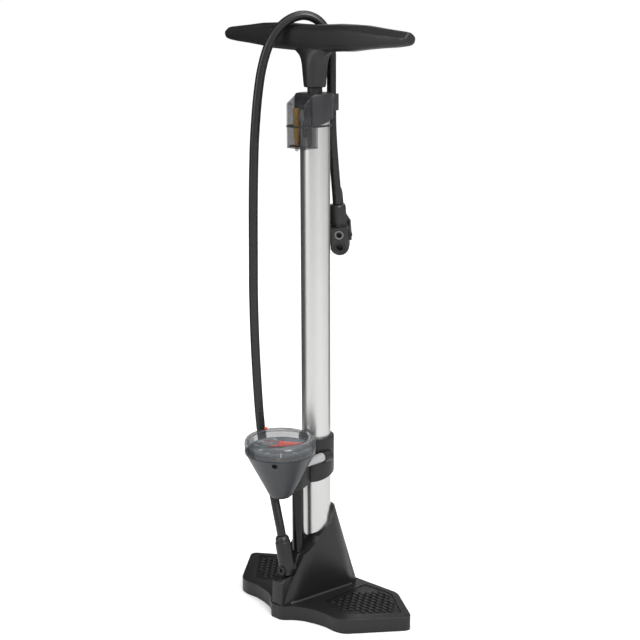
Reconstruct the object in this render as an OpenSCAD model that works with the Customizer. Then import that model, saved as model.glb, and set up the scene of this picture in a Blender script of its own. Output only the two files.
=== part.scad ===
// Floor bike pump with a storage cap, a horizontal gauge and a twin valve head.
// The origin is on the barrel axis at the floor. +X runs along the handle and
// the feet, -Y is the gauge side, +Z is up. All sizes are in millimetres.

/* [Barrel and stroke] */
// Outer diameter of the barrel tube
barrel_od = 32; // [28:0.5:38]
// Wall of the barrel tube
barrel_wall = 1.6; // [1.2:0.1:2.2]
// Height of the barrel's lower end above the floor
barrel_foot_z = 25.5; // [25.5:0.5:27]
// Length of the barrel tube
barrel_len = 540.5; // [450:0.5:660]
// Diameter of the piston rod
rod_od = 12; // [10:0.5:13]
// Running clearance of the rod, the piston and the pins, on the radius
run_gap = 0.05; // [0.02:0.01:0.1]
// Clearance between fitted pieces that don't move, on the radius
fit_gap = 0.05; // [0.02:0.01:0.2]

/* [Handle] */
// Half length of the handle
handle_half = 133; // [110:1:160]
// Depth of the handle at its middle, front to back
handle_depth = 26; // [22:1:28]
// Height of the handle at its middle
handle_height = 27; // [24:1:30]
// Length of the stem under the handle
stem_len = 52; // [40:1:60]
// Diameter of the stem at its lower end
stem_d = 24; // [20:1:28]
// Height of the rubber bumper under the stem
bumper_h = 5.5; // [3:0.5:9]

/* [Cap and storage] */
// Height of the top cap above the barrel's upper end
cap_over = 12; // [11:0.5:20]
// Wall of the cap round the barrel
cap_wall = 3.5; // [2.5:0.1:5]
// Half width of the storage cover
pod_half = 13.5; // [12.5:0.5:15.5]
// Depth of the storage cover in front of the cap
pod_depth = 11.4; // [11:0.2:16]
// Height of the storage cover
pod_h = 56; // [50:1:70]
// Wall of the storage cover
pod_wall = 1.4; // [1:0.1:1.8]

/* [Gauge] */
// Outer radius of the gauge bezel
gauge_r = 39.2; // [37:0.2:40]
// Height of the seam between the gauge's cone and its bezel
gauge_z = 194; // [185:1:230]
// Height of the clear bezel
bezel_h = 16; // [13:0.5:18]
// Length of the housing's cone
cone_len = 54; // [50:1:58]
// Wall of the cone and of the bezel
gauge_wall = 2.4; // [1.6:0.1:3]
// Diameter of the gauge's air pipe
pipe_d = 12.8; // [10:0.2:14]
// Distance of the air pipe in front of the barrel axis
pipe_y = 29.5; // [27:0.5:31]

/* [Base] */
// Height of the feet
foot_h = 16.4; // [14:0.2:22]
// Height of the collar at the back of the barrel
collar_back_z = 116; // [95:1:125]
// Wall of the collar round the barrel
collar_wall = 4.5; // [3.5:0.5:7]
// Thickness of the rubber treads
tread_t = 2.4; // [1.6:0.2:3.2]

/* [Hose and head] */
// Outer diameter of the hose
hose_d = 10; // [9:0.2:10.4]
// Diameter of the pump head's collar
head_collar_d = 18; // [16:0.5:20]
// Radius of the bore for a narrow valve
narrow_bore_r = 3.1; // [3:0.05:3.3]
// Radius of the bore for a wide valve
wide_bore_r = 3.95; // [3.8:0.05:4.1]

/* [Hidden] */
$fn = 72;
cut = 1;
touch = 0.02;

// Barrel
barrel_r = barrel_od / 2;
bore_r = barrel_r - barrel_wall;
barrel_top_z = barrel_foot_z + barrel_len;

// Valve under the barrel
seal_r = 0.75;
seat_t = 6;
seat_top_z = barrel_foot_z - 2 * seal_r;
seat_z = seat_top_z - seat_t;
seat_hole_r = 2.4;
ball_r = 3;
ball_z = seat_z - sqrt(ball_r * ball_r - seat_hole_r * seat_hole_r) - 0.03;
ball_lift = 2;
chamber_r = 4.5;
chamber_z = 6;
spring_wire = 0.7;
spring_turns = 4;
passage_r = 2.2;
passage_z = 10;

// Cap
cap_r = barrel_r + cap_wall;
cap_top_z = barrel_top_z + cap_over;
bush_len = 18;
flange_t = 2;
wiper_t = 3;
wiper_r = 10;
skirt_low_z = barrel_top_z - 20.5;
skirt_slope = 17.4;
skirt_zero_z = barrel_top_z - 17.9;
chamfer_z = 9;
chamfer_y = 13.5;
cover_gap = 0.3;
cap_front_wall = 1.6;
pod_split_y = -barrel_r - cap_front_wall;
pod_front = pod_depth - pod_split_y;
pod_bottom_z = barrel_top_z + cap_over - 1 - pod_h;
pod_top_z = cap_top_z - 1;
pod_corner = 3;
slope_top_y = chamfer_y - pod_front;
function roof_z(y) = pod_top_z - chamfer_z * (slope_top_y - y) / chamfer_y;
pod_back_y = -9.4;
band_t = 1.6;
band_z = skirt_low_z - 2.2;
tray_t = 1.3;
tray_back_y = pod_split_y - touch;
tray_floor_z = pod_bottom_z + pod_wall + 0.4;
nozzle_x = -4;
needle_x = 3.6;
adapter_x = 8.6;
fittings_y = pod_split_y - pod_depth / 2;
drain_r = 3.2;
clip_h = 18;
clip_low_z = cap_top_z - 20;
clip_wall = 2.6;
clip_y = cap_r + 5.7;

// Rod, piston and handle
rod_r = rod_od / 2;
piston_low_z = barrel_foot_z + 18.5;
piston_h = 18;
piston_r = bore_r - 0.4;
piston_seal_r = 1.5;
nut_h = 6;
bumper_low_z = cap_top_z + 0.3;
stem_low_z = bumper_low_z + bumper_h;
grip_z = stem_low_z + stem_len;
bolt_z = stem_low_z + 22;

// Gauge
gauge_y = barrel_r + gauge_r + cover_gap;
gauge_bottom_z = gauge_z - cone_len;
cone_r = gauge_r - 0.9;
tip_r = 15;
tip_h = 9;
dial_z = gauge_z + 4.2;
needle_z = dial_z + 2.4;
lens_low_z = gauge_z + 0.3;
lens_top_z = gauge_z + bezel_h;
spindle_r = 1.2;
zero_angle = 59;
marker_angle = 164;
vent_angle = -58;
pipe_r = pipe_d / 2;
pipe_foot_z = 72;
pipe_top_z = gauge_z - 14;
pipe_nut_h = 4;
boss_top_z = gauge_z - 7;
clamp_r = barrel_r + 3.8;
clamp_top_z = gauge_z + 7;
clamp_low_z = gauge_z - 50;
post_x = barrel_r + 4;
post_r = 5;
post_z = gauge_z - 13;
post_back_y = -11;
post_seat = 2.7;
lug_r = 6.5;
screw_zs = [gauge_z - 25, gauge_z - 3];
screw_y = barrel_r + 1.9;
screw_r = 1.2;
screw_head_r = 2.1;

// Base outline, right half, from the nose back to the middle
base_outline = [
    [0, -65], [7, -65], [11, -62], [18, -55], [28, -49], [42, -45], [56, -43],
    [70, -44], [79, -42], [84, -39], [125, 12], [126.5, 17], [124, 21], [80, 51],
    [73, 53.5], [20, 52], [0, 52]
];
tread_outline = [
    [33, -20], [69, -29], [73, -27], [112, 15], [112.5, 18], [75, 44.5], [71, 46], [34, 44.5]
];
riser_foot = [[0, -62], [9, -62], [12, -43], [22, 34], [18, 50], [0, 50]];
foot_edge = 2.5;
shell_t = 4;
collar_r = barrel_r + collar_wall;
shelf_pipe_z = pipe_foot_z - 1.2;
elbow_x = 4.6;
elbow_y = -50;
elbow_low_z = 50;
elbow_top_x = -3.8;
elbow_top_z = 87;
elbow_len = norm([elbow_top_x - elbow_x, elbow_top_z - elbow_low_z]);
elbow_tilt = atan2(elbow_top_x - elbow_x, elbow_top_z - elbow_low_z);
elbow_r = 8.6;
nut_len = 6;
elbow_bolt_x = 3;
elbow_bolt_y = -41.4;
elbow_bolt_z = 56;
bolt_r = 3.5;
eye_r = 6;
pad_spots = [[0, 40], [0, -56]];
pad_r = 6;
pad_h = 2;
strip_half = 8;

// Pump head, in its own frame: x to its side, -y out of its bores, z up
head_y = 34.1;
head_top_z = 456;
head_turn = 40;
head_lean = 5.8;
sleeve_len = 24.5;
head_half = 10;
head_h = 31;
sleeve_r = head_collar_d / 2;
pivot_y = 5;
pivot_h = 19;
narrow_x = 0.3;
narrow_h = 22.9;
wide_h = 8.6;
hub_r = 6.4;
hub_t = 5;
fork_in = head_half + 0.3;
fork_t = 2.2;
pin_r = 2;

// Route of the hose, from the elbow's nut up past the gauge, over the handle
// and down behind the barrel to the pump head
hose_route = [
    [-5.3, -50, 93.3], [-7.2, -49.9, 101], [-11.4, -49.2, 113], [-19, -47.4, 133], [-27, -45.6, 153],
    [-35.2, -43.8, 173], [-42.2, -42.4, 192], [-46, -41.8, 210], [-47.8, -43, 240], [-48.8, -45.4, 296],
    [-49.4, -46.4, 353], [-49.2, -46, 409], [-48.8, -45.4, 463], [-47.8, -44.2, 515],
    [-46.6, -42.5, 547], [-45, -40, 576], [-42.6, -36.5, 602], [-38.4, -30.5, 626],
    [-32.6, -22, 643], [-25.2, -11.4, 653.6], [-16.6, 1, 657.6], [-8.4, 12.8, 652.6],
    [-2.8, 21, 640], [-0.3, 24.8, 622], [0, 25.2, 600], [0, 25.2, 570], [0, 25.6, 542],
    [0, 27.2, 520], [0, 29.6, 497], [0, 32, 476], [0, 33.6, 461], [0, 34.1, 456.5]
];
hose_steps = 2;

// ---------------------------------------------------------------- helpers

function smooth_point(a, b, c, d, t) =
    0.5 * (2 * b + (c - a) * t + (2 * a - 5 * b + 4 * c - d) * t * t
    + (3 * b - a - 3 * c + d) * t * t * t);
function route_at(p, i) = p[max(0, min(len(p) - 1, i))];
function smooth_route(p, n) = concat(
    [for (i = [0:len(p) - 2]) for (k = [0:n - 1])
        smooth_point(route_at(p, i - 1), p[i], p[i + 1], route_at(p, i + 2), k / n)],
    [p[len(p) - 1]]);
function unit(v) = v / norm(v);
function heading(p, i) = unit(route_at(p, i + 1) - route_at(p, i - 1));
// The ring's side vector stays square to the path and never twists sharply
function side_of(t) = unit(cross(t, [0.8, -0.57, 0.1]));

// A round cord along a list of points
module swept_tube(p, r, sides) {
    ring = [for (i = [0:len(p) - 1])
        let (t = heading(p, i), s = side_of(t), u = cross(t, s))
        for (k = [0:sides - 1])
            p[i] + r * (cos(360 * k / sides) * s + sin(360 * k / sides) * u)];
    last = (len(p) - 1) * sides;
    walls = [for (i = [0:len(p) - 2]) for (k = [0:sides - 1])
        let (a = i * sides + k, b = i * sides + (k + 1) % sides)
        [a, a + sides, b + sides, b]];
    start_face = [[for (k = [0:sides - 1]) k]];
    end_face = [[for (k = [sides - 1:-1:0]) last + k]];
    polyhedron(points = ring, faces = concat(walls, start_face, end_face), convexity = 6);
}

// A tube standing on z = 0
module tube(r_out, r_in, h) {
    difference() {
        cylinder(r = r_out, h = h);
        translate([0, 0, -cut]) cylinder(r = r_in, h = h + 2 * cut);
    }
}

// An O-ring lying at z = 0
module o_ring(r_middle, r_cord) {
    rotate_extrude() translate([r_middle, 0]) circle(r = r_cord, $fn = 24);
}

module hex(across, h) {
    cylinder(d = across / cos(30), h = h, $fn = 6);
}

// Both halves of a plan drawn on the right
module both_sides() {
    children();
    mirror([1, 0, 0]) children();
}

// The pump head's frame
module at_head() {
    translate([0, head_y, head_top_z]) rotate([head_lean, 0, 0])
        translate([0, 0, -sleeve_len - head_h]) rotate([0, 0, head_turn]) children();
}

// The elbow's frame, z along the hose's first stretch
module at_elbow() {
    translate([elbow_x, elbow_y, elbow_low_z]) rotate([0, elbow_tilt, 0]) children();
}

// ---------------------------------------------------------------- base

module base_plan() {
    both_sides() polygon(base_outline);
}

// Feet with a softened upper edge
module feet_block() {
    linear_extrude(foot_h - foot_edge) base_plan();
    steps = 3;
    for (k = [1:steps]) {
        inset = foot_edge * (1 - cos(90 * k / steps));
        low = foot_h - foot_edge + foot_edge * sin(90 * (k - 1) / steps);
        high = foot_h - foot_edge + foot_edge * sin(90 * k / steps);
        translate([0, 0, low - touch])
            linear_extrude(high - low + touch) offset(delta = -inset) base_plan();
    }
}

// Sloping tower that grips the barrel
module riser_block() {
    hull() {
        translate([0, 0, foot_h - 3]) linear_extrude(2) both_sides() polygon(riser_foot);
        translate([0, 0, collar_back_z - 2]) cylinder(r = collar_r, h = 2, $fn = 32);
    }
}

// Side view of the tower's flanks: y and z
flank_profile = [
    [60, 0], [60, foot_h + 4], [collar_r + 2, collar_back_z], [barrel_r - 2, collar_back_z],
    [6, 102], [-3, 96.5], [-15, 88], [-18, 81], [-26, 74.5], [-33.5, 70], [-65, 14], [-66, 0]
];
// Side view of the middle strip that carries the pipe and the elbow
strip_profile = [
    [0, 0], [0, 80], [-pipe_y + pipe_r + 1.4, 78], [-pipe_y + pipe_r + 1.4, shelf_pipe_z],
    [-pipe_y - pipe_r - 1, shelf_pipe_z], [elbow_bolt_y + 1, 64], [elbow_bolt_y, elbow_bolt_z + eye_r],
    [elbow_bolt_y, elbow_low_z - 2], [-58, elbow_low_z - 3], [-62, elbow_low_z - 6], [-66, 0]
];

module base() {
    color("#333336")
    difference() {
        union() {
            feet_block();
            intersection() {
                riser_block();
                rotate([90, 0, 90]) {
                    translate([0, 0, -60]) linear_extrude(120) polygon(flank_profile);
                    translate([0, 0, -strip_half]) linear_extrude(2 * strip_half) polygon(strip_profile);
                }
            }
        }
        // socket for the barrel and the valve seat
        translate([0, 0, seat_z]) cylinder(r = barrel_r + fit_gap, h = collar_back_z);
        // valve chamber and the air passage to the pipe and the elbow
        translate([0, 0, chamber_z]) cylinder(r = chamber_r, h = seat_z);
        translate([0, chamber_r / 2, passage_z]) rotate([90, 0, 0])
            cylinder(r = passage_r, h = -elbow_y + chamber_r / 2, $fn = 24);
        translate([0, -pipe_y, passage_z]) cylinder(r = passage_r, h = 100, $fn = 24);
        translate([0, elbow_y, passage_z]) cylinder(r = passage_r, h = 100, $fn = 24);
        // hollow undersides of the feet
        both_sides() foot_pocket();
        // seats of the treads
        both_sides() translate([0, 0, foot_h - tread_t / 2]) linear_extrude(tread_t)
            offset(delta = fit_gap) polygon(tread_outline);
        pad_sockets();
        // room for the pipe's foot and for the elbow's eye
        translate([0, -pipe_y, shelf_pipe_z]) cylinder(r = pipe_r + 0.4, h = 60);
        translate([elbow_bolt_x - eye_r - 1.5, -80, elbow_low_z - 2])
            cube([2 * eye_r + 3, 80 + elbow_bolt_y, eye_r * 2 + 8]);
        // seat of the elbow's cross bolt
        translate([elbow_bolt_x, elbow_bolt_y - 1, elbow_bolt_z]) rotate([-90, 0, 0])
            cylinder(r = bolt_r + fit_gap, h = 16);
    }
}

// Hollow under one foot
module foot_pocket() {
    translate([0, 0, -cut]) linear_extrude(foot_h - shell_t + cut)
        polygon([[34, -38], [68, -37], [78, -34], [117, 15], [76, 46], [34, 46]]);
}

// Blind seats for the rubber pads
module pad_sockets() {
    for (p = pad_spots) translate([p[0], p[1], -cut]) cylinder(r = pad_r + fit_gap, h = cut + pad_h);
}

// Rubber pads pressed into the underside, flush with the floor
module base_feet() {
    color("#1d1d1f")
    for (p = pad_spots) translate([p[0], p[1], 0]) cylinder(r = pad_r, h = pad_h - fit_gap);
}

// Rubber tread: a mat with raised diamond blocks
module tread_mat() {
    block = 7.5;
    pitch = 9;
    slant = 35;
    z0 = foot_h - tread_t / 2 + fit_gap;
    translate([0, 0, z0]) linear_extrude(tread_t / 2) polygon(tread_outline);
    translate([0, 0, z0 + tread_t / 2 - touch]) linear_extrude(tread_t / 2)
        intersection() {
            offset(delta = -1.2) polygon(tread_outline);
            for (i = [0:12]) for (j = [-14:12])
                translate([34 + i * pitch + j * pitch * 0.55, j * pitch * 0.62 + 6])
                    polygon([[0, -block * 0.28], [block * 0.62, 0], [0, block * 0.28], [-block * 0.62, 0]]);
        }
}

module tread_left() {
    color("#2b2b2d") mirror([1, 0, 0]) tread_mat();
}

module tread_right() {
    color("#2b2b2d") tread_mat();
}

// ---------------------------------------------------------------- barrel

module barrel_tube() {
    color("#c9cbc9") translate([0, 0, barrel_foot_z]) tube(barrel_r, bore_r, barrel_len);
}

module barrel_seal() {
    color("#1a1a1a") translate([0, 0, seat_top_z + seal_r])
        o_ring(barrel_r - barrel_wall / 2, seal_r - touch / 2);
}

module check_valve_seat() {
    color("#b89a5a")
    translate([0, 0, seat_z + touch])
        tube(barrel_r - fit_gap, seat_hole_r, seat_t - touch);
}

module check_valve_ball() {
    color("#c8c8c8") translate([0, 0, ball_z]) sphere(r = ball_r, $fn = 48);
}

module check_valve_spring() {
    low = chamber_z + spring_wire;
    high = ball_z - ball_r - spring_wire;
    steps = spring_turns * 16;
    path = [for (i = [0:steps])
        [2 * cos(360 * spring_turns * i / steps), 2 * sin(360 * spring_turns * i / steps),
        low + (high - low) * i / steps]];
    color("#b0b0b0") spring_sweep(path, spring_wire / 2);
}

module spring_sweep(p, r) {
    sides = 8;
    ring = [for (i = [0:len(p) - 1])
        let (t = heading(p, i), s = unit(cross([0, 0, 1], t)), u = cross(t, s))
        for (k = [0:sides - 1])
            p[i] + r * (cos(360 * k / sides) * s + sin(360 * k / sides) * u)];
    last = (len(p) - 1) * sides;
    walls = [for (i = [0:len(p) - 2]) for (k = [0:sides - 1])
        let (a = i * sides + k, b = i * sides + (k + 1) % sides)
        [a, a + sides, b + sides, b]];
    polyhedron(points = ring, convexity = 10, faces = concat(walls,
        [[for (k = [0:sides - 1]) k]], [[for (k = [sides - 1:-1:0]) last + k]]));
}

// ---------------------------------------------------------------- cap

// Plan of the cap: the ring round the barrel, flared forward to the storage
module cap_plan() {
    intersection() {
        hull() {
            circle(r = cap_r, $fn = 64);
            translate([-pod_half, pod_split_y]) square([2 * pod_half, 4]);
        }
        translate([-2 * cap_r, pod_split_y]) square([4 * cap_r, 4 * cap_r]);
    }
}

module top_cap() {
    color("#4a4a4d")
    difference() {
        translate([0, 0, skirt_low_z]) linear_extrude(cap_top_z - skirt_low_z) cap_plan();
        // sloping lower edge
        translate([-cap_r * 2, 0, skirt_zero_z]) rotate([skirt_slope, 0, 0])
            translate([0, -60, -60]) cube([cap_r * 4, 120, 60]);
        // softened upper rim, and the front edge that runs on into the cover's slope
        rim_cut();
        rotate([90, 0, 90]) translate([0, 0, -2 * cap_r]) linear_extrude(4 * cap_r)
            polygon([
                [slope_top_y, pod_top_z], [slope_top_y - 20, roof_z(slope_top_y - 20)],
                [slope_top_y - 20, cap_top_z + cut], [slope_top_y + 1.8, cap_top_z + cut]
            ]);
        translate([0, 0, skirt_low_z - cut])
            cylinder(r = barrel_r + fit_gap, h = barrel_top_z + flange_t - skirt_low_z + cut);
        translate([0, 0, barrel_top_z])
            cylinder(r = wiper_r + fit_gap, h = flange_t + wiper_t + fit_gap);
        translate([0, 0, barrel_top_z]) cylinder(r = rod_r + 0.6, h = cap_over + cut);
    }
}

// Bevel round the back of the cap's upper edge
module rim_cut() {
    bevel = 2;
    translate([0, 0, cap_top_z - bevel]) difference() {
        cylinder(r = cap_r + 10, h = bevel + cut);
        translate([0, 0, -touch]) cylinder(r1 = cap_r, r2 = cap_r - bevel, h = bevel + touch);
        translate([0, 0, bevel - touch]) cylinder(r = cap_r - bevel, h = 2 * cut);
        translate([-pod_half, pod_split_y - cut, -cut]) cube([2 * pod_half, -pod_split_y + cut, bevel + 3 * cut]);
    }
}

module guide_bush() {
    color("#d8d2bd")
    difference() {
        union() {
            translate([0, 0, barrel_top_z - bush_len]) cylinder(r = bore_r - fit_gap, h = bush_len + cut);
            translate([0, 0, barrel_top_z + touch]) cylinder(r = barrel_r - fit_gap, h = flange_t - 2 * touch);
        }
        translate([0, 0, barrel_top_z - bush_len - cut])
            cylinder(r = rod_r + run_gap, h = bush_len + flange_t + 2 * cut);
    }
}

module wiper_seal() {
    color("#161616") translate([0, 0, barrel_top_z + flange_t + touch])
        tube(wiper_r, rod_r + run_gap, wiper_t - 2 * touch);
}

// Open clip behind the cap that holds the stowed hose
module hose_clip() {
    color("#3c3c3e")
    translate([0, 0, clip_low_z]) difference() {
        union() {
            translate([0, clip_y, 0]) cylinder(r = hose_d / 2 + 0.3 + clip_wall, h = clip_h);
            translate([-4.5, cap_r - 4, 0]) cube([9, 4, clip_h]);
        }
        translate([0, clip_y, -cut]) cylinder(r = hose_d / 2 + 0.3, h = clip_h + 2 * cut);
        translate([0, 0, -cut]) cylinder(r = cap_r + 0.05, h = clip_h + 2 * cut, $fn = 64);
        translate([-3.6, clip_y, -cut]) cube([7.2, 20, clip_h + 2 * cut]);
    }
}

// ---------------------------------------------------------------- storage

// Side view of the storage cover, y and z, drawn smaller by a wall and longer
// towards its open back
module cover_profile(w, open) {
    polygon([
        [-pod_front + w, pod_bottom_z + w],
        [-pod_front + w, roof_z(-pod_front + w) - w * 1.2],
        [pod_split_y - cover_gap + open, roof_z(pod_split_y - cover_gap + open) - w * 1.2],
        [pod_split_y - cover_gap + open, skirt_low_z - cover_gap + open],
        [pod_back_y + open, skirt_low_z - cover_gap + open],
        [pod_back_y + open, pod_bottom_z + w]
    ]);
}

// Smoked clear cover that pulls off forwards
module storage_cover() {
    color([0.25, 0.25, 0.27, 0.6])
    difference() {
        rotate([90, 0, 90]) translate([0, 0, -pod_half]) linear_extrude(2 * pod_half) cover_profile(0, 0);
        rotate([90, 0, 90]) translate([0, 0, -pod_half + pod_wall])
            linear_extrude(2 * (pod_half - pod_wall)) cover_profile(pod_wall, cut);
        translate([0, 0, pod_bottom_z - cut])
            cylinder(r = barrel_r + 0.3, h = pod_h + 2 * cut);
        // rounded front corners
        both_sides() translate([pod_half - pod_corner, -pod_front + pod_corner, pod_bottom_z - cut])
            difference() {
                translate([0, -pod_corner - cut, 0]) cube([pod_corner + cut, pod_corner + cut, pod_h + 2 * cut]);
                translate([0, 0, -cut]) cylinder(r = pod_corner, h = pod_h + 4 * cut, $fn = 32);
            }
        // slot for the nozzle's tip, open to the back so that the cover pulls off
        translate([nozzle_x - drain_r, fittings_y - drain_r, pod_bottom_z - cut])
            cube([2 * drain_r, pod_back_y - fittings_y + drain_r + cut, pod_wall + 2 * cut]);
    }
}

// Inner rack that the spare fittings stand in
module storage_tray() {
    color("#46464a")
    difference() {
        union() {
            translate([-pod_half + pod_wall + 0.4, tray_back_y - tray_t, tray_floor_z])
                cube([2 * (pod_half - pod_wall - 0.4), tray_t, skirt_low_z + 20 - tray_floor_z]);
            translate([-pod_half + pod_wall + 0.4, -pod_front + pod_wall + 1, tray_floor_z])
                cube([2 * (pod_half - pod_wall - 0.4), pod_front - pod_wall - 1 + tray_back_y, tray_t]);
        }
        translate([nozzle_x, fittings_y, tray_floor_z - cut]) cylinder(r = 2.6, h = tray_t + 2 * cut, $fn = 32);
        translate([needle_x, fittings_y, tray_floor_z - cut]) cylinder(r = 1.15, h = tray_t + 2 * cut, $fn = 32);
        translate([adapter_x, fittings_y, tray_floor_z + 0.6]) cylinder(r = 3.05, h = tray_t, $fn = 32);
    }
}

// Rubber loop round the cover and the barrel
module storage_band() {
    color("#141414")
    translate([0, 0, band_z]) linear_extrude(band_t) difference() {
        band_plan(band_t + 0.05);
        band_plan(0.05);
    }
}

module band_plan(grow) {
    hull() {
        circle(r = barrel_r + grow, $fn = 64);
        both_sides() translate([pod_half - pod_corner, -pod_front + pod_corner])
            circle(r = pod_corner + grow, $fn = 32);
    }
}

// Tapered nozzle for inflatables
module air_nozzle() {
    color("#b8963c")
    translate([nozzle_x, fittings_y, tray_floor_z - 2]) difference() {
        union() {
            cylinder(r1 = 1.6, r2 = 2.5, h = 6.5, $fn = 32);
            translate([0, 0, 6.5 - touch]) cylinder(r1 = 2.5, r2 = 3.4, h = 14, $fn = 32);
            translate([0, 0, 20.4]) cylinder(r = 3.9, h = 5, $fn = 32);
            translate([0, 0, 25.4 - touch]) cylinder(r = 3.3, h = 17, $fn = 32);
        }
        translate([0, 0, -cut]) cylinder(r = 0.9, h = 50, $fn = 24);
    }
}

// Ball needle: a thin tube with a threaded collar
module ball_needle() {
    color("#bdbdbd")
    translate([needle_x, fittings_y, tray_floor_z - 0.3]) difference() {
        union() {
            cylinder(r = 1.1, h = 32, $fn = 24);
            translate([0, 0, 28]) hex(6, 4);
            translate([0, 0, 32 - touch]) cylinder(r = 2.4, h = 7, $fn = 32);
        }
        translate([0, 0, -cut]) cylinder(r = 0.5, h = 42, $fn = 24);
    }
}

// Small adapter from a narrow to a wide valve
module valve_adapter() {
    color("#9a9a9a")
    translate([adapter_x, fittings_y, tray_floor_z + 0.65]) difference() {
        union() {
            cylinder(r = 3, h = 4, $fn = 32);
            translate([0, 0, 4 - touch]) cylinder(r = 2.6, h = 6, $fn = 32);
        }
        translate([0, 0, -cut]) cylinder(r = 1.6, h = 12, $fn = 24);
    }
}

// ---------------------------------------------------------------- gauge

// Solid of the gauge's cone, grown by a clearance
module cone_solid(grow) {
    translate([0, -gauge_y, gauge_bottom_z]) rotate_extrude()
        polygon([
            [0, -grow], [7 + grow * 0.5, 0.6 - grow], [12 + grow, 3.4 - grow * 0.6], [tip_r + grow, tip_h],
            [cone_r + grow, cone_len], [0, cone_len]
        ]);
}

module gauge_housing() {
    color("#5a5c5e")
    difference() {
        cone_solid(0);
        translate([0, -gauge_y, gauge_bottom_z]) rotate_extrude()
            polygon([
                [0, 3], [9, 5], [tip_r - gauge_wall, tip_h + 1],
                [cone_r - gauge_wall, cone_len - gauge_wall], [cone_r - gauge_wall, cone_len + cut],
                [0, cone_len + cut]
            ]);
        // way in for the air pipe
        translate([0, -pipe_y, pipe_foot_z]) cylinder(r = pipe_r + fit_gap, h = pipe_top_z - pipe_foot_z + pipe_nut_h + 4);
        // small vent at the front
        translate([0, -gauge_y, gauge_z - 5.5]) rotate([0, 90, vent_angle])
            cylinder(r = 2.5, h = gauge_r + cut, $fn = 24);
    }
}

module gauge_seal() {
    color("#141414") translate([0, -gauge_y, gauge_z + touch])
        tube(cone_r - 0.4, cone_r - gauge_wall, lens_low_z - gauge_z - 2 * touch);
}

// Coiled pressure tube, its brass block on the pipe's nut and the dial's plate
module bourdon_tube() {
    coil_r = 20;
    block_z = pipe_top_z + pipe_nut_h + 2 * touch;
    color("#b08d4a")
    translate([0, -gauge_y, 0]) difference() {
        union() {
            translate([0, 0, dial_z - 8]) rotate([0, 0, 88]) rotate_extrude(angle = 262)
                translate([coil_r, 0]) square([2, 6], center = true);
            translate([-3, 0, dial_z - 11]) cube([6, coil_r + 2.5, 6]);
            translate([-3, coil_r - 1, block_z]) cube([6, gauge_y - pipe_y - coil_r + 4, dial_z - 5 - block_z]);
            translate([0, 0, dial_z - 11]) cylinder(r = 5, h = 6);
            translate([0, coil_r / 2 + 4, dial_z - 6]) cylinder(r = 2.5, h = 6 - touch, $fn = 32);
            translate([0, 0, dial_z - 1.2]) cylinder(r = coil_r, h = 1.2 - touch);
        }
        translate([0, 0, dial_z - 20]) cylinder(r = spindle_r + run_gap, h = 30);
    }
}

module gauge_dial() {
    color("#8d9296")
    translate([0, -gauge_y, dial_z]) tube(gauge_r - 5.4, 2.2, 1.2);
}

// Pointer on its spindle, at zero
module gauge_needle() {
    color("#c8502e")
    translate([0, -gauge_y, 0]) rotate([0, 0, zero_angle]) {
        translate([0, 0, needle_z]) cylinder(r = 3.2, h = 1.8, $fn = 32);
        translate([0, 0, dial_z - 12]) cylinder(r = spindle_r, h = needle_z - dial_z + 12.1, $fn = 32);
        translate([0, 0, needle_z]) linear_extrude(0.9)
            polygon([[-9, -2.4], [-9, 2.4], [0, 2.8], [27, 0.5], [27, -0.5], [0, -2.8]]);
    }
}

// Turnable clear bezel
module gauge_lens() {
    color([0.5, 0.52, 0.55, 0.45])
    translate([0, -gauge_y, lens_low_z]) rotate_extrude()
        polygon([
            [gauge_r - gauge_wall, 0], [gauge_r, 0], [gauge_r, bezel_h - 5.3], [gauge_r - 1, bezel_h - 2.6],
            [gauge_r - 3, bezel_h - 0.9], [gauge_r - 6, bezel_h - 0.3], [gauge_r - 9.5, bezel_h - 0.3],
            [gauge_r - 10.5, bezel_h - 1.2], [0, bezel_h - 1.2], [0, bezel_h - 3.2],
            [gauge_r - 5, bezel_h - 3.2], [gauge_r - gauge_wall, bezel_h - 5.6]
        ]);
}

// Pressure marker set on the bezel
module gauge_marker() {
    color("#d0443a")
    translate([0, -gauge_y, 0]) rotate([0, 0, marker_angle])
        translate([gauge_r - 9, -1.5, lens_low_z + bezel_h - 0.3 + touch]) linear_extrude(1.6)
            polygon([[0, 1.5], [2.4, 0], [5.4, 0], [5.4, 3], [2.4, 3]]);
}

// Rising air pipe beside the barrel
module gauge_pipe() {
    color("#2c2c2e")
    translate([0, -pipe_y, pipe_foot_z]) tube(pipe_r, 3, pipe_top_z - pipe_foot_z);
}

module pipe_ferrule() {
    color("#b4b4b4")
    translate([0, -pipe_y, shelf_pipe_z + touch]) tube(pipe_r - 1.6, 2.4, pipe_foot_z - shelf_pipe_z - 2 * touch);
}

// Nut that holds the pipe in the housing
module pipe_nut() {
    color("#b08d4a")
    translate([0, -pipe_y, pipe_top_z + touch]) difference() {
        hex(11, pipe_nut_h);
        translate([0, 0, -cut]) cylinder(r = 2.4, h = pipe_nut_h + 2 * cut);
    }
}

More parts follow.
